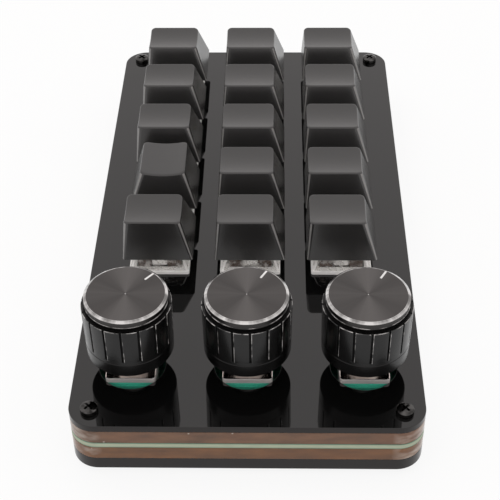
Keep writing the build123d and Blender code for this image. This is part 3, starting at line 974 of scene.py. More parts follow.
def piece(name, mesh, materials, body, nodes, slot, sharp=35.0, level_flat=True):
    """Finished piece: smooth between sharp edges, riding on its body in place of its nodes."""
    if not mesh.materials:
        for material in materials:
            mesh.materials.append(material)
    mesh.set_sharp_from_angle(angle=math.radians(sharp))
    level = 0.9999
    smooth = [not level_flat or abs(face.normal.z) < level for face in mesh.polygons]
    mesh.polygons.foreach_set("use_smooth", smooth)
    mesh = weighted(mesh)
    mesh.name = name
    made = holder_of(name, mesh)
    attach(made, body)
    if nodes:
        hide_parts(*nodes)
    return made


def dress(node, material):
    """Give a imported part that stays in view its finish."""
    slots = frame["nodes"][node].data.materials
    slots.clear()
    slots.append(material)


# Geometry Nodes

def new_tree(name, inputs):
    """Geometry tree with a piece coming in, named inputs and one mesh going out."""
    tree = bpy.data.node_groups.new(name, "GeometryNodeTree")
    tree.interface.new_socket("Piece", in_out="INPUT", socket_type="NodeSocketGeometry")
    for label, kind in inputs.items():
        tree.interface.new_socket(label, in_out="INPUT", socket_type="NodeSocket" + kind)
    tree.interface.new_socket("Result", in_out="OUTPUT", socket_type="NodeSocketGeometry")
    source = tree.nodes.new("NodeGroupInput")
    wires = {socket.name: Wire(tree, socket) for socket in source.outputs if socket.name}
    return Wire(tree), wires


def close_tree(start, shape, material):
    """End a tree: instances made real, then the finish set on the faces that have the first one."""
    real = start.node("GeometryNodeRealizeInstances", {}, {"Geometry": shape})
    band = start.node("GeometryNodeInputMaterialIndex")
    coated = start.node("GeometryNodeSetMaterial", {},
                        {"Geometry": real, "Selection": band < 0.5, "Material": material})
    start.node("NodeGroupOutput", {}, {"Result": coated})
    return start.tree


def grid_tree():
    """Copies of a piece on a grid of columns and rows."""
    start, wires = new_tree("copies_on_grid", {
        "Columns": "Int", "Rows": "Int", "Column Pitch": "Float", "Row Pitch": "Float",
        "Centre": "Vector", "Material": "Material"})
    grid = start.node("GeometryNodeMeshGrid", {}, {
        "Size X": (wires["Columns"] - 1) * wires["Column Pitch"],
        "Size Y": (wires["Rows"] - 1) * wires["Row Pitch"],
        "Vertices X": wires["Columns"], "Vertices Y": wires["Rows"]}, "Mesh")
    placed = start.node("GeometryNodeTransform", {}, {"Geometry": grid, "Translation": wires["Centre"]})
    copies = start.node("GeometryNodeInstanceOnPoints", {}, {"Points": placed, "Instance": wires["Piece"]})
    return close_tree(start, copies, wires["Material"])


def ring_tree():
    """Copies of a piece turned about the upright axis."""
    start, wires = new_tree("copies_round_axis", {"Count": "Int", "Material": "Material"})
    points = start.node("GeometryNodeMeshLine", {"mode": "OFFSET"},
                        {"Count": wires["Count"], "Offset": (0.0, 0.0, 0.0)}, "Mesh")
    order = start.node("GeometryNodeInputIndex")
    turn = order * (2 * math.pi / wires["Count"])
    euler = start.node("ShaderNodeCombineXYZ", {}, {"Z": turn})
    rotation = start.node("FunctionNodeEulerToRotation", {}, {"Euler": euler})
    copies = start.node("GeometryNodeInstanceOnPoints", {}, {
        "Points": points, "Instance": wires["Piece"], "Rotation": rotation})
    return close_tree(start, copies, wires["Material"])


def coil_tree():
    """Coil of round wire between two levels."""
    start, wires = new_tree("coil_of_wire", {
        "Turns": "Float", "Diameter": "Float", "Wire": "Float", "Height": "Float",
        "Foot": "Vector", "Material": "Material"})
    radius = wires["Diameter"] * 0.5
    path = start.node("GeometryNodeCurveSpiral", {}, {
        "Resolution": 40, "Rotations": wires["Turns"], "Start Radius": radius, "End Radius": radius,
        "Height": wires["Height"]})
    section = start.node("GeometryNodeCurvePrimitiveCircle", {"mode": "RADIUS"},
                         {"Resolution": 8, "Radius": wires["Wire"] * 0.5})
    tube = start.node("GeometryNodeCurveToMesh", {}, {
        "Curve": path, "Profile Curve": section, "Fill Caps": True})
    placed = start.node("GeometryNodeTransform", {}, {"Geometry": tube, "Translation": wires["Foot"]})
    return close_tree(start, placed, wires["Material"])


def grown(make_tree, seed_mesh, values):
    """Plain mesh that a tree makes from a seed mesh and named values."""
    tree = make_tree()
    holder = holder_of(tree.name, seed_mesh)
    step = holder.modifiers.new(tree.name, "NODES")
    step.node_group = tree
    for socket in tree.interface.items_tree:
        if socket.in_out == "INPUT" and socket.name in values:
            step[socket.identifier] = values[socket.name]
    mesh = baked(holder)
    bpy.data.node_groups.remove(tree)
    return mesh


def on_grid(seed_mesh, xs, ys, material):
    """Copies of a mesh at each crossing of columns and rows."""
    values = {"Columns": len(xs), "Rows": len(ys), "Column Pitch": (xs[-1] - xs[0]) / (len(xs) - 1),
              "Row Pitch": (ys[-1] - ys[0]) / (len(ys) - 1),
              "Centre": ((xs[0] + xs[-1]) / 2, (ys[0] + ys[-1]) / 2, 0.0), "Material": material}
    return grown(grid_tree, seed_mesh, values)


def corner_grid(node, inset):
    """Columns and rows of the four places of a packed corner part, from its width."""
    lowest, highest = box_of(node)
    return ([lowest.x + inset, highest.x - inset], [lowest.y + inset, highest.y - inset])


# Pieces

def sleeve_grid():
    """Columns and rows of the corner sleeves."""
    return corner_grid("standoffs", chosen("case").sleeve / 2)


def layer(name, node, holes, settings):
    """Sheet with the case's outline in the place of a packed layer."""
    plan = widened((case_size.x, case_size.y, settings.corner), -settings.edge)
    return sheet(name, lap(*plan, 0.0, steps=16), holes, *span_of(node), settings.edge)


def round_holes(diameter, places, edge, segments=32):
    """Round holes at places in plan, with room for the sheet's rounding."""
    return [circle(diameter + 2 * edge, 0.0, place, segments) for place in places]


def corner_holes(diameter, edge):
    """Round holes in the four corners."""
    xs, ys = sleeve_grid()
    return round_holes(diameter, [(x, y) for x in xs for y in ys], edge)


class KEYPAD_OT_sheets(bpy.types.Operator):
    """Make the gloss cover sheet and base sheet"""
    bl_idname = "keypad.sheets"
    bl_label = "Sheets"

    def execute(self, context):
        settings = context.scene.keypad_case
        edge = settings.edge
        screws = corner_holes(settings.screw_hole, edge)
        cutout, corner = settings.cutout + 2 * edge, 0.3 * MM
        holes = screws + [lap(cutout, cutout, corner, 0.0, place) for place in key_centres.values()]
        holes += round_holes(settings.knob_hole, knob_centres.values(), edge, segments=96)
        for name, node, openings in (("cover_sheet", "top_plate", holes),
                                     ("base_sheet", "bottom_plate", screws)):
            mesh = layer(name, node, openings, settings)
            mark_upright(mesh, limit=0.5)
            piece(name, mesh, [gloss_acrylic(), sawn_acrylic()], "case", [node], "black_acrylic")
        return {"FINISHED"}


class KEYPAD_OT_frames(bpy.types.Operator):
    """Make the two clear frames between the sheets"""
    bl_idname = "keypad.frames"
    bl_label = "Clear frames"

    def execute(self, context):
        settings = context.scene.keypad_case
        edge, pad = settings.edge, settings.frame_pad
        half_x = case_size.x / 2 - settings.frame_wall + edge
        half_y = case_size.y / 2 - settings.frame_wall + edge
        quarter = [(half_x, half_y - pad), (half_x - pad, half_y - pad), (half_x - pad, half_y)]
        window = []
        for sx, sy in ((1, 1), (-1, 1), (-1, -1), (1, -1)):
            run = quarter if sx == sy else quarter[::-1]
            window += [Vector((sx * x, sy * y, 0.0)) for x, y in run]
        holes = [window] + corner_holes(settings.sleeve_hole, edge)
        for name, node in (("upper_frame", "upper_spacer"), ("lower_frame", "lower_spacer")):
            mesh = layer(name, node, holes, settings)
            if node == "lower_spacer":
                mesh = cut(mesh, self.notch())
            piece(name, mesh, [cut_acrylic()], "case", [node], "clear_acrylic")
        return {"FINISHED"}

    def notch(self):
        """Block that opens the lower frame for the socket."""
        lowest, highest = box_of("usb_port")
        size = highest - lowest
        room, corner = 0.6 * MM, 0.2 * MM
        levels = (low("lower_spacer").z - MM, high("lower_spacer").z + MM)
        return block("notch", 3 * size.x, size.y + room, corner, levels, (lowest.x, middle("usb_port").y))


class KEYPAD_OT_board(bpy.types.Operator):
    """Make the circuit board with its socket, and finish the chip under it"""
    bl_idname = "keypad.board"
    bl_label = "Board"

    def execute(self, context):
        settings = context.scene.keypad_case
        edge = settings.edge
        holes = corner_holes(settings.sleeve_hole, edge)
        holes += round_holes(settings.boss_hole, key_centres.values(), edge)
        board = layer("board", "circuit_board", holes, settings)
        piece("board", board, [solder_mask()], "case", ["circuit_board"], "green_board")
        metals = [socket_steel(), chip_plastic(), contact_brass()]
        piece("socket", self.socket(), metals, "case", ["usb_port"], "socket_steel")
        dress("controller_chip", chip_plastic())
        return {"FINISHED"}

    def socket(self):
        """Rounded shell with its tongue and gold pads, mouth to -X."""
        lowest, highest = box_of("usb_port")
        size = highest - lowest
        corner, wall, back, lip = 1.2 * MM, 0.3 * MM, 1.0 * MM, 0.08 * MM
        floor = size.x - back
        outer = (size.y, size.z, corner)
        inner = widened(outer, -wall)
        laps = [lap(*inner, floor), lap(*inner, lip), lap(*widened(inner, lip), 0.0),
                lap(*widened(outer, -lip), 0.0), lap(*outer, lip), lap(*outer, size.x)]
        tongue_w, tongue_t, tongue_corner, tip = 6.7 * MM, 0.7 * MM, 0.15 * MM, 1.8 * MM
        tongue_laps = [lap(tongue_w - 2 * lip, tongue_t - 2 * lip, 0.1 * MM, tip),
                       lap(tongue_w, tongue_t, tongue_corner, tip + lip),
                       lap(tongue_w, tongue_t, tongue_corner, floor + lip)]
        parts = [skin("shell", laps), banded(skin("tongue", tongue_laps), 1)]
        pad_count, pad_pitch = 10, 0.55 * MM
        pad_width, pad_height, pad_corner = 0.25 * MM, 0.06 * MM, 0.01 * MM
        pad_levels = (tip + 0.3 * MM, floor)
        for n in range(pad_count):
            across = (n - (pad_count - 1) / 2) * pad_pitch
            for side in (-1, 1):
                pad_centre = (across, side * tongue_t / 2)
                pad = block("pad", pad_width, pad_height, pad_corner, pad_levels, pad_centre, steps=1)
                parts.append(banded(pad, 2))
        turn = Matrix(((0, 0, 1), (1, 0, 0), (0, 1, 0))).to_4x4()
        centre = middle("usb_port")
        return moved(joined("socket", parts), at((lowest.x, centre.y, centre.z)) @ turn)


class KEYPAD_OT_fasteners(bpy.types.Operator):
    """Make the screws, corner sleeves and rubber feet"""
    bl_idname = "keypad.fasteners"
    bl_label = "Fasteners"

    def execute(self, context):
        settings = context.scene.keypad_case
        head = settings.screw_head
        top = self.screw(head, plate_top, high("top_screws").z, low("top_screws").z)
        under = self.screw(head, -low("bottom_plate").z, -low("bottom_screws").z, -high("bottom_screws").z)
        under = moved(under, Matrix.Rotation(math.pi, 4, "X"))
        sleeve, foot = self.sleeve(settings), self.foot(settings)
        corners = corner_grid("top_screws", head / 2)
        feet = corner_grid("rubber_feet", settings.foot / 2)
        for name, seed, grid, material, node, slot in (
                ("cover_screws", top, corners, black_steel(), "top_screws", "black_steel"),
                ("base_screws", under, corners, black_steel(), "bottom_screws", "black_steel"),
                ("corner_sleeves", sleeve, corners, turned_metal(), "standoffs", "standoff_metal"),
                ("feet", foot, feet, soft_rubber(), "rubber_feet", "foot_rubber")):
            piece(name, on_grid(seed, *grid, material), [material], "case", [node], slot)
        return {"FINISHED"}

    def screw(self, head, seat, crown, tip):
        """Pan-head screw with a cross recess: thread down to its tip, head up to its crown."""
        thread, pitch, nick, dome = 1.0 * MM, 0.4 * MM, 0.15 * MM, 0.5 * MM
        end, root = thread * 0.8, thread * 0.86
        valley, crest = 0.3, 0.8
        profile = [(0.0, tip), (end, tip)]
        for n in range(int((seat - tip) / pitch)):
            profile += [(root, tip + (n + valley) * pitch), (thread, tip + (n + crest) * pitch)]
        profile += [(root, seat), (head / 2 - nick, seat), (head / 2, seat + nick)]
        profile += domed(head / 2, crown - dome, dome, steps=8)
        arm, half, depth = 1.25 * MM, 0.3 * MM, 0.9 * MM
        plan = []
        for quarter in range(4):
            turn = Matrix.Rotation((quarter + 0.5) * math.pi / 2, 3, "Z")
            plan += [turn @ Vector((x, y, 0.0)) for x, y in ((arm, half), (half, half), (half, arm))]
        steps = ((0.6, crown - depth), (1.0, crown - 0.3 * depth), (1.05, crown + MM))
        laps = [[point * scale + Vector((0.0, 0.0, level)) for point in plan] for scale, level in steps]
        return cut(turned("screw", profile, segments=48), skin("recess", laps))

    def sleeve(self, settings):
        """Threaded sleeve with eased ends."""
        bottom, top = span_of("standoffs")
        outer, inner, ease = settings.sleeve / 2, 1.03 * MM, 0.2 * MM
        profile = [(inner, bottom + ease), (inner + ease, bottom), (outer - ease, bottom)]
        profile += [(outer, bottom + ease), (outer, top - ease), (outer - ease, top)]
        profile += [(inner + ease, top), (inner, top - ease)]
        return turned("sleeve", profile, segments=32, closed=True)

    def foot(self, settings):
        """Low rubber foot with a rounded tread."""
        top, radius, ease = high("rubber_feet").z, settings.foot / 2, 0.5 * MM
        profile = eased([(0.0, 0.0), (radius - ease, 0.0), (radius, top), (0.0, top)], ease)
        return turned("foot", profile, segments=48)


class KEYPAD_OT_switches(bpy.types.Operator):
    """Make the clear switch housings and springs, and finish the sliders and contacts"""
    bl_idname = "keypad.switches"
    bl_label = "Switches"

    def execute(self, context):
        keys = context.scene.keypad_keys
        clear = clear_plastic()
        for name, seed, node in (("switch_covers", self.cover(keys), "switch_upper_housings"),
                                 ("switch_bases", self.base(keys), "switch_lower_housings")):
            seed.materials.append(clear)
            seed.materials.append(frost_with_painted_glow())
            housings = on_grid(seed, column_xs, row_ys, clear)
            piece(name, housings, [], "case", [node], "clear_plastic")
        dress("switch_contacts", contact_brass())
        for tag, place in key_centres.items():
            dress("stem_" + tag, slider_plastic())
            legs = moved(self.legs(), over(place))
            piece("slider_legs_" + tag, legs, [slider_plastic()], "key_" + tag, [], "stem_plastic")
            self.spring(keys, tag, place)
        return {"FINISHED"}

    def legs(self):
        """Two front legs of a slider, each on a short arm from its shoulder."""
        width, depth, corner, nick = 3.5 * MM, 0.8 * MM, 0.2 * MM, 0.2 * MM
        inner, front, shoulder = 2.1 * MM, 5.4 * MM, 3.7 * MM
        foot, head = plate_top - 0.2 * MM, flange_top + 3.6 * MM
        arm_levels = (head - 0.9 * MM, head - 0.05 * MM)
        reach = front - shoulder
        parts = []
        for side in (-1, 1):
            centre = (side * (inner + width / 2), depth / 2 - front)
            leg = [lap(width - draw, depth - draw, corner, level, centre)
                   for level, draw in ((foot, nick), (foot + nick, 0.0), (head, 0.0))]
            arm_centre = (side * (inner + width / 4), reach / 2 - front)
            parts += [skin("leg", leg), block("arm", width / 2, reach, corner, arm_levels, arm_centre)]
        return joined("legs", parts)

    def cover(self, keys):
        """Tapered cover with a window in its crown."""
        waist = plate_top + keys.waist_height
        wall, ease = keys.shell, 0.25 * MM
        outer_corner, inner_corner, window_corner = 0.5 * MM, 0.3 * MM, 0.4 * MM
        waist_out, waist_in, crown_out, crown_in = 0.1 * MM, 0.12 * MM, 0.2 * MM, 0.3 * MM
        ceiling = housing_top - wall
        share = (ceiling - waist) / (housing_top - waist)
        inner_crown = keys.waist + share * (keys.crown - keys.waist) - 2 * wall
        laps = [square(side, outer_corner, level) for side, level in (
            (keys.foot - 2 * wall, flange_top), (keys.foot, flange_top),
            (keys.waist + waist_out, waist - ease), (keys.waist - waist_in, waist + ease),
            (keys.crown + crown_out, housing_top - crown_out), (keys.crown - crown_in, housing_top))]
        window = (keys.window_long, keys.window_short, inner_corner)
        lead = 0.3 * MM
        laps += [lap(keys.window_long + lead, keys.window_short + lead, window_corner, housing_top),
                 lap(*window, housing_top - lead / 2), lap(*window, ceiling)]
        laps += [square(inner_crown, inner_corner, ceiling),
                 square(keys.waist - 2 * wall, inner_corner, waist)]
        outer_start, outer_end, quarter = 1, 5, len(laps[0]) // 4

        # Faces marked 1 take the frosted finish, painted pale as a highlight with a painted glow.
        def edge(run, n):
            return int(outer_start <= run < outer_end and n % quarter != quarter - 1)

        return joined("cover", [skin("cover", laps, closed=True, mark=edge), self.lens(keys)])

    def lens(self, keys):
        """Frosted light guide inside the front wall."""
        width, depth, corner = 3.8 * MM, 0.8 * MM, 0.15 * MM
        behind, foot_gap, head_gap = 0.5 * MM, 0.1 * MM, 0.2 * MM
        centre = (0.0, -(keys.waist / 2 - keys.shell - behind))
        levels = (flange_top + foot_gap, plate_top + keys.waist_height - head_gap)
        # The whole guide takes the frosted finish, with its painted glow.
        return block("lens", width, depth, corner, levels, centre, mark=lambda run, n: 1)

    def base(self, keys):
        """Square base with a flange on the cover sheet and a well for the slider's pole."""
        inner = keys.body - 2 * keys.shell
        floor, ease = board_top + 1.2 * MM, 0.15 * MM
        corner, flange_corner = 0.4 * MM, 0.5 * MM
        laps = [square(*step) for step in (
            (keys.body, corner, board_top), (keys.body, corner, plate_top),
            (keys.flange, flange_corner, plate_top), (keys.flange, flange_corner, flange_top - ease),
            (keys.flange - 2 * ease, corner, flange_top),
            (inner, corner, flange_top), (inner, corner, floor))]
        # The flange takes the frosted finish, painted pale as a highlight with a painted glow.
        flange = range(1, 5)
        tube, bore, boss = 1.9 * MM, 1.4 * MM, 2.0 * MM
        tip, mouth = low("switch_lower_housings").z, low("stem_" + key_tags[0]).z + 0.6 * MM
        well_floor = tip + 0.8 * MM
        opening = [tube * Vector((point.x, point.y, 0.0)).normalized() for point in laps[-1]]
        laps += [[point + Vector((0.0, 0.0, level)) for point in opening] for level in (floor, board_top)]
        shell = skin("base", laps, closed=True, mark=lambda run, n: int(run in flange))
        profile = [(0.0, tip), (boss, tip), (boss, board_top), (tube, board_top)]
        profile += [(tube, mouth), (bore, mouth), (bore, well_floor), (0.0, well_floor)]
        return joined("base", [shell, turned("well", profile, segments=32)])

    def spring(self, keys, tag, place):
        """Return spring of one key."""
        bottom, top = span_of("switch_springs")
        foot = (place.x, place.y, bottom + keys.wire / 2)
        steel = spring_steel()
        values = {"Turns": keys.turns, "Diameter": keys.coil, "Wire": keys.wire,
                  "Height": top - bottom - keys.wire, "Foot": foot, "Material": steel}
        mesh = grown(coil_tree, bpy.data.meshes.new("seed"), values)
        made = piece("spring_" + tag, mesh, [steel], "case", ["switch_springs"], "spring_steel", sharp=60.0)
        joint = next(j for j in frame["joints"] if j["name"] == "key_press_" + tag)
        keep = 1.0 - max(joint["range_m"]) / (top - bottom)
        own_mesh(made)


class KEYPAD_OT_keycaps(bpy.types.Operator):
    """Make the fifteen keycaps"""
    bl_idname = "keypad.keycaps"
    bl_label = "Keycaps"

    def execute(self, context):
        keys = context.scene.keypad_keys
        for tag, place in key_centres.items():
            turn = 0.0 if self.leans_along_x(tag, keys) else -math.pi / 2
            mesh = moved(self.cap(keys), over(place) @ Matrix.Rotation(turn, 4, "Z"))
            piece("cap_" + tag, mesh, [cap_plastic(), cap_ridge_highlight()], "key_" + tag, ["keycap_" + tag],
                  "keycap_plastic", sharp=40.0, level_flat=False)
        return {"FINISHED"}

    def leans_along_x(self, tag, keys):
        """Whether a packed cap's top is longer along X than along Y."""
        points = [v.co for v in frame["nodes"]["keycap_" + tag].data.vertices]
        rim = [p for p in points if p.z > cap_head - 2 * keys.dish]
        spread_x = max(p.x for p in rim) - min(p.x for p in rim)
        spread_y = max(p.y for p in rim) - min(p.y for p in rim)
        return spread_x > spread_y

    def cap(self, keys):
        """Hollow cap with a dished top and eased edges, about its own axis."""
        height = cap_head - cap_foot
        half = keys.top_short / 2
        bend = (half ** 2 + keys.dish ** 2) / (2 * keys.dish)
        fine = {"steps": 6, "side_steps": 8}

        def dished(point, level=height):
            """Point dropped onto the dish."""
            sunk = keys.dish - bend + math.sqrt(bend ** 2 - min(abs(point.y), half) ** 2)
            return Vector((point.x, point.y, cap_foot + level - sunk))

        shift = (keys.top_shift, 0.0)
        roof_corner, mouth_corner, nick = 0.8 * MM, 0.6 * MM, 0.12 * MM
        base = lap(keys.base, keys.base, keys.base_corner, cap_foot, **fine)
        rim = [dished(p) for p in lap(keys.top_long, keys.top_short, keys.top_corner, 0.0, shift, **fine)]
        draw = 2 * keys.easing
        lip = [dished(p) for p in lap(keys.top_long - draw, keys.top_short - draw,
                                      keys.top_corner - keys.easing, 0.0, shift, **fine)]
        roof_level = height - keys.dish - keys.wall
        inner = keys.base - 2 * keys.wall
        share = roof_level / height
        roof = lap(inner + share * (keys.top_long - keys.base), inner + share * (keys.top_short - keys.base),
                   roof_corner, cap_foot + roof_level, (share * keys.top_shift, 0.0), **fine)
        mouth = lap(inner, inner, mouth_corner, cap_foot, **fine)
        rest = lap(keys.base - 2 * nick, keys.base - 2 * nick, keys.base_corner, cap_foot, **fine)
        laps = [roof, mouth, rest]
        wall_steps = 4
        start = nick / height
        reach = [1.0 - keys.easing / (r - b).length for r, b in zip(rim, base)]
        for n in range(wall_steps + 1):
            parts = [start + (end - start) * n / wall_steps for end in reach]
            laps.append([b.lerp(r, part) for b, r, part in zip(base, rim, parts)])
        wall_end = laps[-1]
        curve_steps = 5
        for n in range(1, curve_steps + 1):
            t = n / curve_steps
            laps.append([a.lerp(p, t).lerp(p.lerp(c, t), t) for a, p, c in zip(wall_end, rim, lip)])
        centre = Vector((keys.top_shift, 0.0, 0.0))
        for scale in (0.85, 0.65, 0.45, 0.25, 0.08):
            laps.append([dished(centre + (p - centre) * scale) for p in lip])
        wall_start, quarter, crest = 3, len(base) // 4, fine["steps"] // 2

        # Faces marked 1 take the ridge finish, a painted highlight along the upright edges.
        def upright_edge(run, n):
            on_wall = wall_start <= run < wall_start + wall_steps
            return 1 if on_wall and n % quarter in (crest - 1, crest) else 0

        shell = skin("cap", laps, mark=upright_edge)
        post, gap, sunk, ease = 2.75 * MM, 0.2 * MM, 0.2 * MM, 0.2 * MM
        foot, head = housing_top + gap, cap_foot + roof_level + sunk
        profile = eased([(0.0, foot), (post, foot), (post, head), (0.0, head)], ease)
        return joined("cap", [shell, turned("post", profile, segments=32)])


class KEYPAD_OT_encoders(bpy.types.Operator):
    """Make the encoders' bases, covers and snap domes, and finish their shafts and rotors"""
    bl_idname = "keypad.encoders"
    bl_label = "Encoders"

    def execute(self, context):
        knobs = context.scene.keypad_knobs
        places = [over(place) for place in knob_centres.values()]
        bases = joined("bases", [moved(self.base(knobs), place) for place in places])
        piece("encoder_bodies", bases, [base_plastic()], "case", ["encoder_bases"], "green_plastic")
        covers = joined("covers", [moved(self.cover(knobs), place) for place in places])
        mark_upright(covers, limit=0.9)
        metals = [cover_steel(), cover_fold()]
        piece("encoder_shells", covers, metals, "case", ["encoder_covers"], "cover_steel")
        for tag, place in knob_centres.items():
            dress("encoder_shaft_" + tag, turned_metal())
            dress("encoder_rotor_" + tag, rotor_plastic())
            self.dome(tag, place)
        return {"FINISHED"}

    def plan(self, width, depth, draw, level):
        """Rectangle with blunt corners, made smaller by a draw."""
        return lap(width - draw, depth - draw, 0.8 * MM, level, steps=2)

    def base(self, knobs):
        """Moulded base with a fine parting step."""
        bottom, top = span_of("encoder_bases")
        draw, parting = 0.24 * MM, top - 1.2 * MM
        steps = ((0.0, bottom), (0.0, parting), (draw, parting), (draw, top))
        return skin("base", [self.plan(knobs.encoder_width, knobs.encoder_depth, *step) for step in steps])

    def cover(self, knobs):
        """Folded cover with a threaded bushing, side legs and board tabs."""
        bottom = high("encoder_bases").z
        top = bottom + knobs.cover
        thick, ease, corner = 0.4 * MM, 0.2 * MM, 0.1 * MM
        leg_width, tab_width = 6.0 * MM, 2.0 * MM
        width = knobs.encoder_width + 2 * thick
        steps = ((0.0, bottom), (0.0, top - ease), (0.6 * ease, top - 0.3 * ease), (2 * ease, top))
        plate = skin("plate", [self.plan(width, knobs.encoder_depth, *step) for step in steps])
        parts = [plate, self.bushing(top)]
        for side in (-1, 1):
            centre = (side * (width - thick) / 2, 0.0)
            for name, breadth, levels in (("leg", leg_width, (board_top, bottom + ease)),
                                          ("tab", tab_width, (low("encoder_covers").z, board_top + ease))):
                parts.append(block(name, thick, breadth, corner, levels, centre, steps=2))
        return joined("cover", parts)

    def bushing(self, bottom):
        """Threaded collar round the shaft."""
        top = high("encoder_covers").z
        outer, inner, pitch = 3.5 * MM, 3.05 * MM, 0.5 * MM
        root = outer - 0.18 * MM
        profile = [(inner, bottom), (root, bottom)]
        for n in range(int((top - bottom) / pitch) - 1):
            level = bottom + (n + 0.5) * pitch
            profile += [(root, level), (outer, level + pitch / 2)]
        profile += [(root, top - 0.4 * pitch), (root, top), (inner, top)]
        return turned("bushing", profile, segments=48, closed=True)

    def dome(self, tag, place):
        """Snap dome under a shaft."""
        bottom, top = span_of("encoder_push_domes")
        radius, rim = 2.0 * MM, 0.1 * MM
        profile = [(0.0, bottom), (radius, bottom)]
        profile += domed(radius, bottom + rim, top - bottom - rim, steps=6)
        mesh = moved(turned("dome", profile, segments=32), over(place))
        made = piece("snap_dome_" + tag, mesh, [spring_steel()], "case", ["encoder_push_domes"],
                     "dome_steel")
        "knob_push_" + tag
        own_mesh(made)


class KEYPAD_OT_knobs(bpy.types.Operator):
    """Make the three knobs with their spun discs and index marks"""
    bl_idname = "keypad.knobs"
    bl_label = "Knobs"

    def execute(self, context):
        knobs = context.scene.keypad_knobs
        plastics = [knob_plastic(), knob_groove_shade(), knob_rim_highlight()]
        metals = [band_metal(), bright_metal(), spun_metal(), knob_rim_highlight()]
        for tag, place in knob_centres.items():
            body, shift = "knob_" + tag, over(place)
            panel = self.panel(knobs)
            for material in plastics:
                panel.materials.append(material)
            panels = grown(ring_tree, panel, {"Count": knobs.flutes, "Material": plastics[0]})
            skirt_turn = Matrix.Rotation(self.skirt_turn(tag, knobs), 4, "Z")
            skirt = joined("skirt", [moved(self.core(knobs), shift), moved(panels, shift @ skirt_turn)])
            piece("knob_skirt_" + tag, skirt, plastics, body, ["knob_body_" + tag], "knob_plastic")
            disc = moved(self.disc(knobs), shift)
            piece("knob_disc_" + tag, disc, metals, body, ["knob_cap_" + tag], "knob_aluminium", sharp=25.0)
            mark_turn = Matrix.Rotation(self.mark_turn(tag, knobs), 4, "Z")
            mark = moved(self.mark(knobs), shift @ mark_turn)
            piece("knob_mark_" + tag, mark, [mark_paint()], body, [], "knob_aluminium")
        return {"FINISHED"}

    def skirt_turn(self, tag, knobs):
        """How far a packed knob stands turned, from the floors of its grooves."""
        place = knob_centres[tag]
        floor, near = knobs.skirt / 2 - knobs.flute_depth, 0.05 * MM
        total = 0j
        for vertex in frame["nodes"]["knob_body_" + tag].data.vertices:
            spoke = complex(vertex.co.x - place.x, vertex.co.y - place.y)
            if abs(abs(spoke) - floor) < near:
                total += (spoke / abs(spoke)) ** knobs.flutes
        if total == 0j:
            raise RuntimeError("the packed knob has no grooves")
        return cmath.phase(total) / knobs.flutes

    def skirt_radius(self, knobs, level):
        """Radius of the skirt at a level above the knob's foot."""
        share = level / knobs.skirt_height
        return (knobs.foot + share * (knobs.skirt - knobs.foot)) / 2

    def core(self, knobs):
        """Hollow body, smooth below and sunk behind the panels above."""
        roof, boss, boss_foot = disc_foot - 3.3 * MM, 4.8 * MM, knob_foot + 0.6 * MM
        seam, size, step, tuck = knobs.seam, 0.12 * MM, knobs.flute_foot, 0.02 * MM
        rim, neck, ease, ledge = knobs.foot / 2, knobs.neck / 2, 0.25 * MM, 0.15 * MM
        hollow = rim - knobs.wall
        neck_level = knob_foot + knobs.skirt_height - tuck

        def wall(level, sunk=0.0):
            return (self.skirt_radius(knobs, level) - sunk, knob_foot + level)

        profile = [(0.0, boss_foot), (boss, boss_foot), (boss, roof), (hollow, roof), (hollow, knob_foot)]
        profile += [(rim - ease, knob_foot), (rim - 0.3 * ease, knob_foot + 0.3 * ease),
                    (rim, knob_foot + ease)]
        profile += [wall(seam - size), wall(seam, size), wall(seam + size), wall(step, tuck)]
        bands = [0] * (len(profile) - 1)
        # The parts behind the panels take the groove finish, painted shade in the recess and the neck.
        behind = [(self.skirt_radius(knobs, step) - knobs.flute_depth, knob_foot + step + ledge),
                  (knobs.skirt / 2 - knobs.flute_depth, neck_level), (neck, neck_level), (neck, disc_foot),
                  (0.0, disc_foot)]
        return turned("core", profile + behind, segments=128, bands=bands + [1] * len(behind))

    def panel(self, knobs):
        """One raised panel of the skirt with eased sides and top."""
        ease, rim, root, lead = 0.18 * MM, 0.14 * MM, 0.1 * MM, 0.3 * MM
        top, step, sunk = knobs.skirt_height, knobs.flute_foot, knobs.flute_depth + root
        inner_steps = 4
        laps = []
        for level, drop in ((step - root, 0.0), (step + lead, 0.0), (0.5 * (step + top), 0.0),
                            (top - rim, 0.0), (top - 0.3 * rim, 0.3 * rim), (top, rim)):
            radius = self.skirt_radius(knobs, level) - drop
            half = math.pi / knobs.flutes - knobs.flute_gap / 2 / radius
            nip = ease / radius
            side = [(half, sunk - drop), (half, ease), (half - 0.3 * nip, 0.3 * ease), (half - nip, 0.0)]
            flat = [((half - nip) * (2 * n / inner_steps - 1), 0.0) for n in range(1, inner_steps)]
            across = [(-turn, depth) for turn, depth in side] + flat + side[::-1]
            laps.append([Vector(((radius - depth) * math.cos(turn), (radius - depth) * math.sin(turn),
                                 knob_foot + level)) for turn, depth in across])
        front, rim_start, last = range(3, 7), 3, len(laps[0]) - 1

        # Faces marked 1 take the groove finish, painted shade on the sunk sides; faces marked 2 take the rim
        # finish, a painted highlight on the eased edges.
        def part(run, n):
            if n in (0, last - 1, last):
                return 1
            return 2 if n == 2 or (run >= rim_start and n in front) else 0

        return moved(skin("panel", laps, mark=part), Matrix.Rotation(math.pi / knobs.flutes, 4, "Z"))

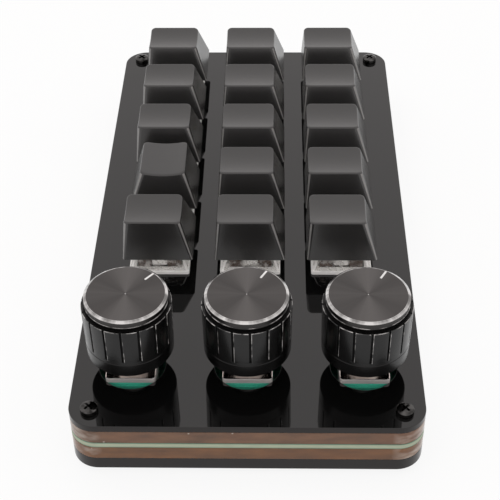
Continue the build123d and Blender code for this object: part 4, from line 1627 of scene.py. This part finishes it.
    def disc(self, knobs):
        """Metal disc: dark band, bright chamfer and a spun face a little below its rim."""
        rim, face = knobs.disc / 2, knobs.disc / 2 - knobs.chamfer
        band_top, sunk = disc_foot + knobs.band, knob_head - 0.05 * MM
        inner, dimple, depth = face - 0.1 * MM, 0.25 * MM, 0.12 * MM
        nick, bead, lip = 0.08 * MM, 0.1 * MM, 0.06 * MM
        profile = [(0.0, disc_foot), (rim - nick, disc_foot), (rim, disc_foot + nick),
                   (rim, disc_foot + nick + 0.5 * bead), (rim - bead, disc_foot + nick + 1.5 * bead),
                   (rim - bead, band_top - nick), (rim, band_top),
                   (face, knob_head), (face - lip, knob_head), (inner, sunk)]
        # Band 3 takes the rim finish, a painted highlight on the bead; band 1 takes the chamfer finish with
        # its painted reflection.
        bands = [0, 0, 0, 3, 0, 0, 1, 1, 1]
        rings = 6
        profile += [(inner + (dimple - inner) * n / rings, sunk) for n in range(1, rings + 1)]
        bands += [2] * rings
        profile += [(0.6 * dimple, sunk - 0.7 * depth), (0.0, sunk - depth)]
        bands += [2, 1]
        mesh = turned("disc", profile, segments=128, bands=bands)
        plan = mesh.uv_layers.new(name="plan")
        for corner in mesh.loops:
            point = mesh.vertices[corner.vertex_index].co
            plan.data[corner.index].uv = (point.x / MM, point.y / MM)
        return mesh

    def mark(self, knobs):
        """Filled index mark along +X, close to the face's rim."""
        gap, corner = 0.1 * MM, 0.12 * MM
        reach = knobs.disc / 2 - knobs.chamfer - gap - knobs.mark_length / 2
        steps = ((0.3 * MM, 0.0), (0.03 * MM, 0.0), (0.01 * MM, 0.12 * MM))
        centre = (reach, 0.0)
        laps = [lap(knobs.mark_length - draw, knobs.mark_width - draw, corner, knob_head - depth, centre)
                for depth, draw in steps]
        return skin("mark", laps)

    def mark_turn(self, tag, knobs):
        """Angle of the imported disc's index slot about its own axis."""
        place = knob_centres[tag]
        face, clear_of_dimple = knobs.disc / 2 - knobs.chamfer, 2 * MM
        deepest, shallowest = knob_head - 0.3 * MM, knob_head - 0.1 * MM
        slot = [v.co - place for v in frame["nodes"]["knob_cap_" + tag].data.vertices
                if deepest < v.co.z < shallowest]
        slot = [p for p in slot if clear_of_dimple < math.hypot(p.x, p.y) < face]
        if not slot:
            raise RuntimeError("the packed disc has no index slot")
        centre = sum((Vector((p.x, p.y, 0.0)) for p in slot), ORIGIN.copy()) / len(slot)
        return math.atan2(centre.y, centre.x)


class KEYPAD_OT_stage(bpy.types.Operator):
    """Set the camera, the soft light and the pale floor"""
    bl_idname = "keypad.stage"
    bl_label = "Stage"

    def execute(self, context):
        stage = context.scene.keypad_stage
        context.scene.view_settings.view_transform = "Standard"
        self.camera(context, stage)
        self.sky(context, stage)
        self.softbox(stage)
        self.floor(stage)
        return {"FINISHED"}

    def camera(self, context, stage):
        """Camera at the product view's place, with its slight roll."""
        view = Vector((math.sin(stage.yaw) * math.cos(stage.elevation),
                       math.cos(stage.yaw) * math.cos(stage.elevation), -math.sin(stage.elevation)))
        side = Vector((math.cos(stage.yaw), -math.sin(stage.yaw), 0.0))
        upward = side.cross(view)
        right = math.cos(stage.roll) * side + math.sin(stage.roll) * upward
        above = math.cos(stage.roll) * upward - math.sin(stage.roll) * side
        data = bpy.data.cameras.new("camera")
        data.lens = stage.lens
        data.clip_start = 0.01
        data.clip_end = 20.0
        camera = holder_of("camera", data)
        turn = Matrix((right, above, -view)).transposed()
        camera.matrix_world = at(Vector(stage.target) - view * stage.distance) @ turn.to_4x4()
        context.scene.camera = camera

    def sky(self, context, stage):
        """White surround for what is seen and mirrored, softer light for the rest."""
        world = bpy.data.worlds.new("surround")
        world.use_nodes = True
        world.node_tree.nodes.clear()
        start = Wire(world.node_tree)
        seen = seen_by(start)
        strength = seen + (1.0 - seen) * stage.sky
        camera = start.node("ShaderNodeLightPath", {}, {}, "Is Camera Ray")
        tint = blend(start, camera, (1.0, 0.96, 0.95, 1.0), (1.0, 1.0, 1.0, 1.0))
        light = start.node("ShaderNodeBackground", {}, {"Color": tint, "Strength": strength})
        start.node("ShaderNodeOutputWorld", {}, {"Surface": light})
        context.scene.world = world

    def softbox(self, stage):
        """Broad overhead light, a little behind the object."""
        data = bpy.data.lights.new("softbox", "AREA")
        data.shape = "RECTANGLE"
        data.size = 0.9
        data.size_y = 0.9
        data.energy = stage.softbox
        lamp = holder_of("softbox", data)
        lamp.visible_glossy = False
        lamp.location = (-0.15, 0.1, 0.9)
        lamp.rotation_euler = (ORIGIN - lamp.location).to_track_quat("-Z", "Y").to_euler()

    def floor(self, stage):
        """Wide pale floor that keeps the object's shadow."""
        half = 3.0
        corners = [(-half, -half, 0.0), (half, -half, 0.0), (half, half, 0.0), (-half, half, 0.0)]
        mesh = new_mesh("floor", corners, [(0, 1, 2, 3)])
        mesh.materials.append(floor_paint())
        holder_of("floor", mesh)


class KEYPAD_PT_panel(bpy.types.Panel):
    """Steps and settings of the keypad"""
    bl_idname = "KEYPAD_PT_panel"
    bl_label = "Keypad"
    bl_space_type = "VIEW_3D"
    bl_region_type = "UI"
    bl_category = "Keypad"

    def draw(self, context):
        for operator in STEPS:
            self.layout.operator(operator.bl_idname)
        for label in SETTINGS:
            group = getattr(context.scene, label)
            box = self.layout.box()
            for key in group.bl_rna.properties.keys():
                if key not in ("rna_type", "name"):
                    box.prop(group, key)


SETTINGS = {
    "keypad_case": CaseSettings,
    "keypad_keys": KeySettings,
    "keypad_knobs": KnobSettings,
    "keypad_stage": StageSettings,
}
STEPS = (KEYPAD_OT_sheets, KEYPAD_OT_frames, KEYPAD_OT_board, KEYPAD_OT_fasteners, KEYPAD_OT_switches,
         KEYPAD_OT_keycaps, KEYPAD_OT_encoders, KEYPAD_OT_knobs, KEYPAD_OT_stage)


def register():
    """Add the settings, steps and panel."""
    for label, group in SETTINGS.items():
        bpy.utils.register_class(group)
        setattr(bpy.types.Scene, label, PointerProperty(type=group))
    for made in STEPS + (KEYPAD_PT_panel,):
        bpy.utils.register_class(made)


def unregister():
    """Take the panel, steps and settings away again."""
    for made in reversed(STEPS + (KEYPAD_PT_panel,)):
        bpy.utils.unregister_class(made)
    for label, group in SETTINGS.items():
        delattr(bpy.types.Scene, label)
        bpy.utils.unregister_class(group)


def main():
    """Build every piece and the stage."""
    register()
    for operator in STEPS:
        group, step = operator.bl_idname.split(".")
        getattr(getattr(bpy.ops, group), step)()


if __name__ == "__main__":
    main()
